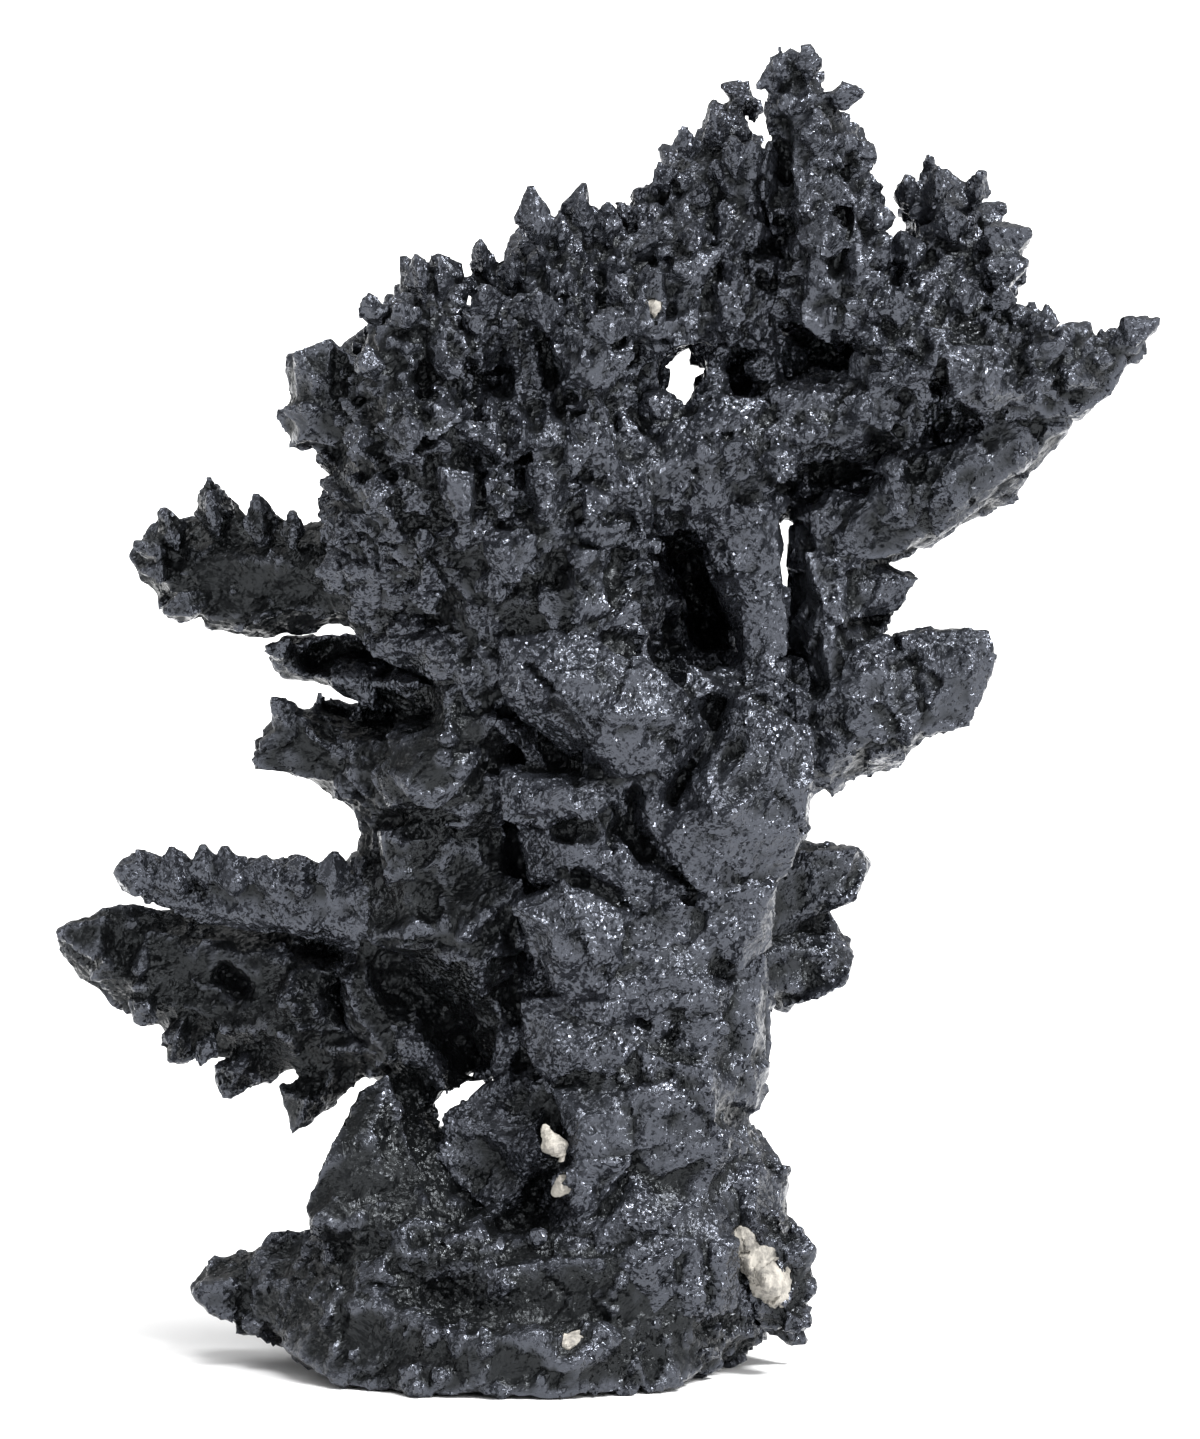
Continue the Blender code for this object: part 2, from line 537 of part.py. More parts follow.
def cut_solid(name, shapes, cutter_mesh, parts, cutters):
    """Union a piece's shapes and take its neighbours' grown shells away from it."""
    rough = add_object(name + "_rough", shell_mesh(name, shapes), cutters)
    cutter = add_object(name + "_cutter", cutter_mesh, cutters)
    cut = rough.modifiers.new("neighbours", "BOOLEAN")
    cut.operation = "DIFFERENCE"
    cut.solver = "EXACT"
    cut.use_self = True
    cut.object = cutter
    graph = bpy.context.evaluated_depsgraph_get()
    mesh = bpy.data.meshes.new_from_object(rough.evaluated_get(graph))
    mesh.name = name
    clean(mesh)
    remove_object(rough)
    remove_object(cutter)
    return add_object(name, mesh, parts)


# --- materials ----------------------------------------------------------------------------
def principled(name, colour, roughness, metallic):
    material = bpy.data.materials.new(name)
    material.use_nodes = True
    shader = material.node_tree.nodes["Principled BSDF"]
    shader.inputs["Base Color"].default_value = (*colour, 1.0)
    shader.inputs["Roughness"].default_value = roughness
    shader.inputs["Metallic"].default_value = metallic
    return material


def metal_material(name):
    """Dark blue-grey sulphide with a dull metallic shine."""
    return principled(name, (0.075, 0.085, 0.11), 0.4, 0.9)


def pale_material(name):
    """Chalky cream grain."""
    return principled(name, (0.72, 0.70, 0.62), 0.6, 0.0)


# --- assembly -----------------------------------------------------------------------------
def new_collection(name):
    collection = bpy.data.collections.new(name)
    bpy.context.scene.collection.children.link(collection)
    return collection


def reach_of(shape, grow):
    """Lowest and highest corner of a shape."""
    if isinstance(shape, Limb):
        rings = [shape.section(index, grow) for index in range(len(shape.centres))]
        corners = [corner for ring in rings for corner in ring]
    else:
        corners = shape.corners(grow)
    low = Vector([min(corner[axis] for corner in corners) for axis in range(3)])
    high = Vector([max(corner[axis] for corner in corners) for axis in range(3)])
    return low, high


def close_by(shape, others):
    """True if a shape's box meets the box of any of the others."""
    low, high = reach_of(shape, GAP * MM)
    for other in others:
        other_low, other_high = reach_of(other, 0.0)
        if all(low[axis] < other_high[axis] and other_low[axis] < high[axis] for axis in range(3)):
            return True
    return False


def floor_block():
    """Everything below the flat cut under the foot, as a slab."""
    bm = bmesh.new()
    bmesh.ops.create_cube(bm, size=1.0)
    bmesh.ops.scale(bm, vec=FLOOR_BLOCK, verts=bm.verts[:])
    bmesh.ops.translate(bm, vec=(0, 0, -FLOOR_BLOCK.z / 2), verts=bm.verts[:])
    mesh = bpy.data.meshes.new("floor_block")
    bm.to_mesh(mesh)
    bm.free()
    return mesh


def join_meshes(name, meshes):
    bm = bmesh.new()
    for mesh in meshes:
        bm.from_mesh(mesh)
        bpy.data.meshes.remove(mesh)
    joined = bpy.data.meshes.new(name)
    bm.to_mesh(joined)
    bm.free()
    return joined


def bottom_centre(pieces):
    """Middle of the underside of the box round all pieces."""
    corners = [vert.co for piece in pieces for vert in piece.data.vertices]
    low = [min(corner[axis] for corner in corners) for axis in range(3)]
    high = [max(corner[axis] for corner in corners) for axis in range(3)]
    return Vector(((low[0] + high[0]) / 2, (low[1] + high[1]) / 2, low[2]))


def build():
    for thing in list(bpy.data.objects):
        bpy.data.objects.remove(thing)
    parts = new_collection(SPECIMEN)
    cutters = new_collection(SPECIMEN + "_cutters")
    placed = []
    pieces = []
    for make in PALE_GRAINS + DARK_BRANCHES:
        shapes = make()
        near = [shape for shape in placed if close_by(shape, shapes)]
        cutter = join_meshes("cutter", [shell_mesh("near", near, GAP * MM), floor_block()])
        piece = cut_solid(make.__name__, shapes, cutter, parts, cutters)
        finish = pale_material if make in PALE_GRAINS else metal_material
        piece.data.materials.append(finish(make.__name__ + "_finish"))
        pieces.append(piece)
        placed += shapes
    stand = bpy.data.objects.new("specimen_stand_point", None)
    parts.objects.link(stand)
    stand.location = -bottom_centre(pieces)
    for piece in pieces:
        piece.parent = stand
    bpy.context.view_layer.update()


build()
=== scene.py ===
"""Looks of a branching argentite specimen: every branch of the frame gets a rough crystal skin.

A skin starts from the frame's solid. Small crystals are scattered over it, teeth and slabs are
added one by one, all as closed shells, and a voxel remesh makes one skin of them. Where branches
face each other across a gap, the skin is carried over it, because the real ones are grown
together. Broken faces and hollows are then worked out for all points at once.
"""

import math
from dataclasses import dataclass

import bpy
import numpy as np
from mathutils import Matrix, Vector
from mathutils.bvhtree import BVHTree


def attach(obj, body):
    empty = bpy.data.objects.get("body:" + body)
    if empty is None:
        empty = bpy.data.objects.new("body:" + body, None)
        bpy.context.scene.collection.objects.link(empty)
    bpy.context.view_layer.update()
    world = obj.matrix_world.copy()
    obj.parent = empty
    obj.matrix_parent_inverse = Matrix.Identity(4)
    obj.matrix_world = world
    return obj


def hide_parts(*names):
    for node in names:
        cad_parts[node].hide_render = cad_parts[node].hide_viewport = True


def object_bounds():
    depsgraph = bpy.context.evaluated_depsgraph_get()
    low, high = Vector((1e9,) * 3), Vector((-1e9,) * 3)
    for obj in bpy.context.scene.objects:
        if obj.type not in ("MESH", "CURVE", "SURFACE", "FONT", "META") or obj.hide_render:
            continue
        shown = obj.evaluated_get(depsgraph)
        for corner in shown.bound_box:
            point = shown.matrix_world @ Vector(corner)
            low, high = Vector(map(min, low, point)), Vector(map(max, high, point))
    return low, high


# --- sizes ---
MM = 0.001  # one drawing millimetre, in metres
VIEW_TILT = math.radians(7.0)  # the front view looks down by this angle
FOOT_LINE = 0.9  # the front view's zero line lies this far up the floor, mm
VIEW_MIDDLE = (0.0, 26.82)  # the front view is centred on this point, across and up, mm
VIEW_HEIGHT = 57.56  # height that the front view takes in, mm
CAMERA_DISTANCE = 0.75  # from the specimen's middle to the camera, metres
CAMERA_RANGE = (0.05, 10.0)  # nearest and furthest that the camera sees, metres
SENSOR = 36.0  # long side of the camera's sensor, mm
FLOOR_REACH = 3.0  # from the floor's middle to its sides, metres
# directions: from the specimen to the viewer, and up in the front view
TO_VIEWER = Vector((0, -math.cos(VIEW_TILT), math.sin(VIEW_TILT)))
UP_IN_VIEW = np.array((0, math.sin(VIEW_TILT), math.cos(VIEW_TILT)))

# skins: sizes in mm
GAP_REACH = 0.6  # a skin is carried over gaps up to this wide
GAP_OVERLAP = 0.7  # and on into its neighbour by this
CARRIED = 0.02  # a point that moved further than this was carried over
SEAM_NEAR, SEAM_EASE = 0.5, 0.7  # a branch is near a seam within this, easing over this
SEAM_SWELL = 0.28  # it swells by this to close the seam
INSET_WAVE = (2.2, 0.5)  # size of the waves in a core's inset, and their share of it
WARPS = ((4.0, 0.45), (1.5, 0.2))  # size and reach of the winds that bend straight edges
WIND_SEED = 40  # seed of the winds along X; Y and Z take the next two
CALM_HEIGHT = 3.0  # the winds die out below this height, towards the floor
CORE_VOXEL = 0.22  # voxel size of a branch's core
GRAIN_VOXEL = 0.09  # voxel size of a pale grain
BRANCH_SEED, GRAIN_SEED = 1, 21  # seeds of the broken faces on branches and on grains
CREASE = math.radians(34)  # edges bent by more than this stay crisp
EVENED = 0.6  # share that each round of evening takes from the neighbours
CRISP_ROUNDS, SHADE_ROUNDS = 4, 24  # rounds that find the narrow hollows, and the wide ones that get painted shade
FULL_HOLLOW = 0.12  # a wide hollow this deep gets the full painted shade

# crystals: sizes in mm
LEAN_SCATTER, TURN_SCATTER = 0.25, 0.4  # how much their lean and their turn scatter
MOSTLY_SHORT = 1.5  # a power above 1 makes more short crystals than long ones
WIDTH_SCATTER = (0.8, 1.25)  # narrowest and widest, as a factor
BOX_MARGIN = 0.2  # tips may pass the frame's box by this, and stay this far off the floor
TOOTH_ROOT = 0.4  # a tooth is rooted this share of its width behind the face
TOOTH_SIDE = (1.0, 0.0, 0.15)  # way in which a tooth's first corner points
TALL_SLAB = 1.4  # slabs that stand further forward than this are tall
# their and the others' sides: share of the height that is upright, before the slanting planes
# start, and size of the face that these leave, as a share of the outline
TALL_SIDES, LOW_SIDES = (0.7, 0.6), (0.3, 0.42)
SLAB_INWARD = 0.15  # the rim's depth is read this share of the way inward
SLAB_LEVEL = 0.6  # share by which a rim is levelled to its middle depth
SLAB_ROOT = 1.4  # a slab is rooted this far behind the front face
SHORTEST_RUN = 1e-9  # lets a crevice be as short as a point
CUT_EASE = 1.0  # a crevice ends over this at the middle of the branch
PIT_WIDTH, PIT_DEPTH = 1.2, 0.5  # pits at the grains: width as a share of reach, depth
GRAIN_SWELL = 0.12  # the pale grains stand proud by this
GRAIN_WEAR, WEAR_ROUNDS = 0.5, 12  # share of their bumps that is worn off, and the rounds
GRAIN_FACES = ((0.8, 0.14), (0.3, 0.05))  # their broken faces: size and depth
OUT_IN_FRONT, JUST_IN_FRONT = -30.0, -4.0  # depths from which a branch's front face is sought

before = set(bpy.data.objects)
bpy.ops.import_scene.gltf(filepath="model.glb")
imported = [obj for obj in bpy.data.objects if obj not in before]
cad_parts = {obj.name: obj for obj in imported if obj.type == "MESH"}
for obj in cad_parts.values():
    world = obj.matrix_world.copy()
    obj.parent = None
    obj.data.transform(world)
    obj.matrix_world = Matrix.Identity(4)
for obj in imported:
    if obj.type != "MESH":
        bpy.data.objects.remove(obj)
cad_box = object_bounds()


def place(across, up, depth):
    """World position of a front-view point (mm): the view's plane is tilted by VIEW_TILT."""
    height = (up - FOOT_LINE - depth * math.sin(VIEW_TILT)) / math.cos(VIEW_TILT)
    return np.array((across, depth, height)) * MM


# --- habits: how a branch's surface grows ---
@dataclass(frozen=True)
class Crop:
    """One size of crystal over a branch: how many per square mm, shortest and longest in mm,
    width over length, lean towards the branch's tip, and the share that is sunk in."""

    crowd: float
    shortest: float
    longest: float
    width: float
    lean: float
    sunk: float


@dataclass(frozen=True)
class Habit:
    """A surface: its voxel size, how far its core lies under the frame's solid, its crops of
    crystals, its broken faces as pairs of size and depth, all in mm, and how much its edges
    and crevices are sharpened."""

    voxel: float
    inset: float
    crops: tuple
    faces: tuple
    crisp: float = 0.8


CROWN = Habit(0.158, 0.35,
              (Crop(0.20, 2.2, 3.0, 0.32, 0.6, 0.62), Crop(0.55, 1.2, 1.8, 0.40, 0.4, 0.56),
               Crop(0.9, 0.6, 0.9, 0.46, 0.3, 0.56)),
              ((0.5, 0.07),), 0.95)
CLUSTER = Habit(0.158, 0.35,
                (Crop(0.20, 2.0, 2.8, 0.36, 0.4, 0.62), Crop(0.55, 1.2, 1.8, 0.42, 0.4, 0.56),
                 Crop(0.9, 0.6, 0.9, 0.46, 0.3, 0.56)),
                ((0.5, 0.07),), 0.95)
PLATE = Habit(0.175, 0.2,
              (Crop(0.03, 1.6, 2.4, 0.5, 0.3, 0.8), Crop(0.08, 0.9, 1.4, 0.48, 0.3, 0.7),
               Crop(0.2, 0.5, 0.8, 0.45, 0.3, 0.7)),
              ((3.0, 0.26), (1.1, 0.10), (0.45, 0.045)), 0.4)
RIDGE = Habit(0.168, 0.26,
              (Crop(0.14, 1.8, 2.6, 0.42, 0.4, 0.72), Crop(0.35, 1.0, 1.5, 0.46, 0.4, 0.66),
               Crop(0.5, 0.5, 0.8, 0.46, 0.3, 0.64)),
              ((1.8, 0.16), (0.6, 0.08)))
BLADE = Habit(0.158, 0.1,
              (Crop(0.10, 1.0, 1.6, 0.46, 0.5, 0.78), Crop(0.2, 0.6, 0.9, 0.46, 0.3, 0.72)),
              ((1.8, 0.16), (0.6, 0.07)), 0.5)
SPEAR = Habit(0.15, 0.08,
              (Crop(0.08, 1.2, 1.8, 0.42, 0.5, 0.78), Crop(0.3, 0.6, 1.0, 0.46, 0.4, 0.72)),
              ((1.8, 0.14), (0.6, 0.07)), 0.6)
ARM = Habit(0.15, 0.06,
            (Crop(0.25, 0.7, 1.1, 0.48, 0.4, 0.8),),
            ((1.8, 0.12), (0.6, 0.05)), 0.6)
BEADED = Habit(0.15, 0.06,
               (Crop(0.6, 0.6, 0.9, 0.5, 0.2, 0.7),),
               ((1.8, 0.12), (0.6, 0.06)), 0.6)
GROUND = Habit(0.19, 0.2,
               (Crop(0.12, 1.2, 2.0, 0.45, 0.3, 0.74), Crop(0.45, 0.6, 1.0, 0.45, 0.3, 0.66)),
               ((1.8, 0.14), (0.6, 0.09)), 0.6)
HIDDEN = Habit(0.21, 0.28,
               (Crop(0.16, 1.5, 2.4, 0.38, 0.4, 0.65), Crop(0.5, 0.9, 1.4, 0.42, 0.4, 0.58)),
               ((1.6, 0.12), (0.5, 0.08)))

# node: habit, the direction in which its branch grows, and how much painted shade it takes beyond the usual:
# darker tint and lower shine for branches that lie in shade, painted light below zero
BRANCHES = {
    "foot": (GROUND, (0, -0.2, 1), 0.6),
    "foot_spear_left": (GROUND, (-1, 0.2, 0), 0.85),
    "foot_fin": (GROUND, (-0.3, 0, 1), 0.9),
    "foot_knob_right": (GROUND, (0.5, 0, 0.6), 0.6),
    "trunk_lower": (PLATE, (0, 0, 1), 0.1),
    "trunk_upper": (PLATE, (0.2, 0, 1), -0.1),
    "left_shoulder": (PLATE, (-0.4, 0, 1), 0.65),
    "lower_left_spear": (SPEAR, (-1, 0.3, 0.1), 0.75),
    "lower_left_bar": (BEADED, (-1, 0.2, 0.1), -0.05),
    "left_arm_low": (ARM, (-1, 0.3, 0), 0.6),
    "left_arm_high": (ARM, (-1, 0.3, 0), 0.6),
    "left_upper_spear": (SPEAR, (-1, 0.4, 0.1), 0.85),
    "stub_upper_right": (ARM, (1, 0.3, 0.1), 0.3),
    "stub_lower_right": (ARM, (1, 0.3, 0.2), 0.35),
    "back_wall": (HIDDEN, (0.6, 0, 0.6), 0.3),
    "pillar": (PLATE, (0, 0, 1), -0.05),
    "right_fan": (BLADE, (1, -0.3, 0.3), 0.15),
    "neck": (PLATE, (-0.6, 0, 0.6), 0.3),
    "left_crown_outer": (CROWN, (-0.5, 0, 1), 0.45),
    "left_crown_inner": (CROWN, (0, 0, 1), 0.05),
    "beam": (RIDGE, (1, 0, 0.3), 0.1),
    "right_blade": (BLADE, (1, 0, 0.5), 0.35),
    "right_cluster": (CLUSTER, (1, -0.1, 0.2), 0.2),
    "upper_right_cluster": (CLUSTER, (0.2, 0.1, 1), 0.0),
    "top_crown_left": (CROWN, (0, 0.1, 1), 0.1),
    "top_crown_right": (CROWN, (0.1, 0, 1), 0.1),
}

# branches that stay apart, with a slit of light between them, and how far both swell into it, mm
APART = (("pillar", "right_fan", 0.2), ("lower_left_bar", "lower_left_spear", 0.08),
         ("left_arm_high", "left_arm_low", 0.0), ("left_arm_high", "left_upper_spear", 0.0),
         ("foot_knob_right", "foot", 0.15))

# crystals given one by one, in mm of the front view: root across and up, tip across and up,
# width, and how far the tip stands forward
TEETH = {
    "left_upper_spear": (
        (-15.3, 34.0, -15.6, 36.4, 0.9, 0.1), (-13.3, 34.0, -13.6, 36.1, 0.85, 0.1),
        (-12.2, 33.8, -12.2, 35.6, 0.6, 0.1), (-16.7, 33.6, -17.5, 35.3, 0.75, 0.1),
        (-17.0, 33.5, -18.6, 33.8, 0.6, 0.1), (-16.8, 32.7, -18.5, 32.8, 0.55, 0.1),
        (-15.4, 32.0, -17.5, 31.4, 0.75, 0.3), (-12.9, 31.8, -13.4, 30.5, 0.8, 0.2)),
    "lower_left_spear": (
        (-16.5, 14.8, -17.35, 12.9, 0.75, 0.1), (-15.4, 14.4, -16.0, 12.9, 0.5, 0.1),
        (-14.1, 13.8, -14.85, 11.55, 0.95, 0.1), (-11.8, 13.2, -12.35, 10.55, 1.0, 0.1),
        (-17.9, 15.8, -18.8, 14.5, 0.8, 0.1), (-19.0, 17.4, -20.2, 16.3, 0.75, 0.1),
        (-18.8, 18.0, -21.6, 18.2, 1.3, 0.1), (-17.2, 18.7, -20.9, 18.9, 0.8, 0.1)),
    "lower_left_bar": (
        (-18.0, 20.5, -19.7, 20.8, 1.1, 0.2), (-18.0, 19.8, -18.7, 21.7, 0.9, 0.2),
        (-16.9, 19.6, -17.3, 21.6, 1.1, 0.1), (-15.9, 19.8, -16.0, 21.7, 0.9, 0.4),
        (-14.7, 19.6, -15.0, 21.6, 1.2, 0.2), (-13.6, 19.7, -13.5, 21.6, 1.0, 0.5),
        (-12.3, 19.8, -12.4, 21.7, 1.2, 0.2), (-11.2, 20.0, -10.9, 21.8, 1.0, 0.5)),
    "foot_spear_left": ((-13.6, 3.6, -16.4, 3.7, 1.3, 0.2), (-13.4, 2.9, -14.8, 2.1, 0.8, 0.2)),
    "foot_knob_right": (
        (7.2, 5.5, 8.7, 5.8, 1.1, 0.2), (7.2, 4.3, 8.7, 4.2, 1.1, 0.2),
        (7.0, 3.2, 8.5, 2.6, 1.0, 0.2)),
    "left_arm_low": ((-11.8, 25.8, -12.75, 27.3, 0.8, 0.2), (-12.0, 25.4, -13.8, 25.2, 0.8, 0.1)),
    "left_arm_high": ((-11.6, 29.1, -13.15, 29.4, 0.75, 0.2),),
    "left_crown_outer": (
        (-6.3, 39.9, -6.6, 38.0, 0.9, 1.3), (-7.6, 39.2, -7.4, 37.6, 0.9, 1.2),
        (-8.6, 41.2, -9.6, 40.6, 0.8, 0.8), (-7.6, 42.2, -8.3, 43.4, 0.7, 0.6),
        (-9.0, 38.6, -9.6, 37.2, 0.7, 0.9), (-8.4, 36.6, -8.9, 35.2, 0.8, 1.0),
        (-7.2, 43.4, -7.6, 45.3, 0.75, 0.3), (-6.5, 43.2, -6.3, 45.0, 0.6, 0.3),
        (-8.8, 42.4, -9.3, 43.7, 0.7, 0.3)),
    "left_crown_inner": (
        (-4.9, 40.6, -4.8, 38.8, 0.9, 1.4), (-3.2, 38.9, -3.4, 37.2, 0.8, 1.3),
        (-1.2, 38.4, -0.9, 36.6, 0.9, 1.1), (-0.4, 36.6, 0.0, 34.9, 0.8, 1.0),
        (-2.2, 45.2, -2.5, 47.7, 0.75, 0.3), (-1.5, 45.2, -1.3, 46.9, 0.6, 0.2),
        (-0.3, 45.8, -0.4, 47.9, 0.6, 0.2), (0.5, 45.6, 0.5, 47.5, 0.6, 0.2),
        (-4.3, 44.0, -4.6, 45.8, 0.7, 0.4), (-3.4, 43.6, -3.4, 45.1, 0.6, 0.4),
        (-4.1, 42.4, -4.4, 43.8, 0.8, 1.0), (-1.8, 42.0, -2.2, 43.4, 0.8, 1.2),
        (0.2, 41.6, 0.8, 42.8, 0.8, 1.0)),
    "neck": (
        (-4.1, 32.9, -4.0, 31.2, 0.9, 1.2), (-0.7, 33.4, -0.6, 31.3, 0.85, 1.1),
        (1.2, 33.6, 1.5, 32.0, 0.8, 0.9), (-7.4, 33.4, -8.8, 32.6, 0.9, 0.8),
        (-6.2, 32.0, -7.6, 31.2, 0.9, 0.8)),
    "beam": (
        (12.0, 39.4, 12.0, 37.5, 1.0, 1.2), (7.4, 42.0, 7.3, 40.3, 1.0, 1.3),
        (5.1, 42.0, 5.0, 40.4, 0.95, 1.3), (9.5, 41.0, 9.4, 43.4, 0.95, 1.3),
        (7.0, 37.9, 7.0, 36.4, 0.8, 1.4)),
    "top_crown_right": (
        (7.3, 51.4, 7.4, 53.5, 0.5, 0.3), (8.6, 52.2, 8.5, 53.6, 0.6, 0.2),
        (9.2, 47.0, 9.1, 45.2, 0.8, 1.3), (10.2, 49.6, 11.3, 49.3, 0.6, 0.3),
        (9.3, 51.5, 10.7, 51.8, 0.7, 0.2), (10.6, 46.9, 11.9, 46.7, 0.7, 0.3)),
    "top_crown_left": (
        (5.4, 50.9, 5.6, 52.6, 0.45, 0.2), (6.1, 50.6, 6.1, 51.8, 0.4, 0.1),
        (3.4, 49.0, 3.2, 50.5, 0.6, 0.2), (2.8, 47.8, 2.3, 49.2, 0.55, 0.2),
        (4.6, 49.6, 4.3, 51.0, 0.6, 0.4), (3.8, 46.6, 3.4, 45.2, 0.8, 1.2),
        (5.4, 48.4, 5.2, 50.0, 0.7, 1.0), (2.4, 46.0, 2.0, 47.2, 0.7, 1.0)),
    "upper_right_cluster": (
        (12.6, 46.8, 12.4, 48.5, 0.65, 0.3), (13.6, 47.0, 13.6, 48.6, 0.7, 0.4),
        (15.0, 47.0, 15.4, 48.4, 0.6, 0.2), (14.8, 45.0, 17.2, 46.0, 1.2, 0.4),
        (14.8, 44.0, 17.1, 44.8, 1.1, 0.4), (14.2, 45.6, 14.0, 47.0, 0.8, 1.2),
        (12.6, 44.6, 12.2, 46.2, 0.8, 1.1)),
    "right_cluster": (
        (13.4, 41.6, 13.2, 40.0, 0.8, 1.2), (15.4, 41.4, 15.5, 39.7, 0.8, 1.1),
        (11.8, 42.4, 11.8, 43.8, 0.8, 1.2), (17.6, 41.8, 17.8, 42.9, 0.6, 0.3),
        (14.6, 42.8, 14.6, 44.0, 0.8, 0.9), (17.4, 40.6, 17.5, 39.4, 0.7, 0.7),
        (20.1, 41.9, 22.0, 42.7, 0.8, 0.2), (16.2, 42.6, 16.2, 43.8, 0.6, 0.5)),
}
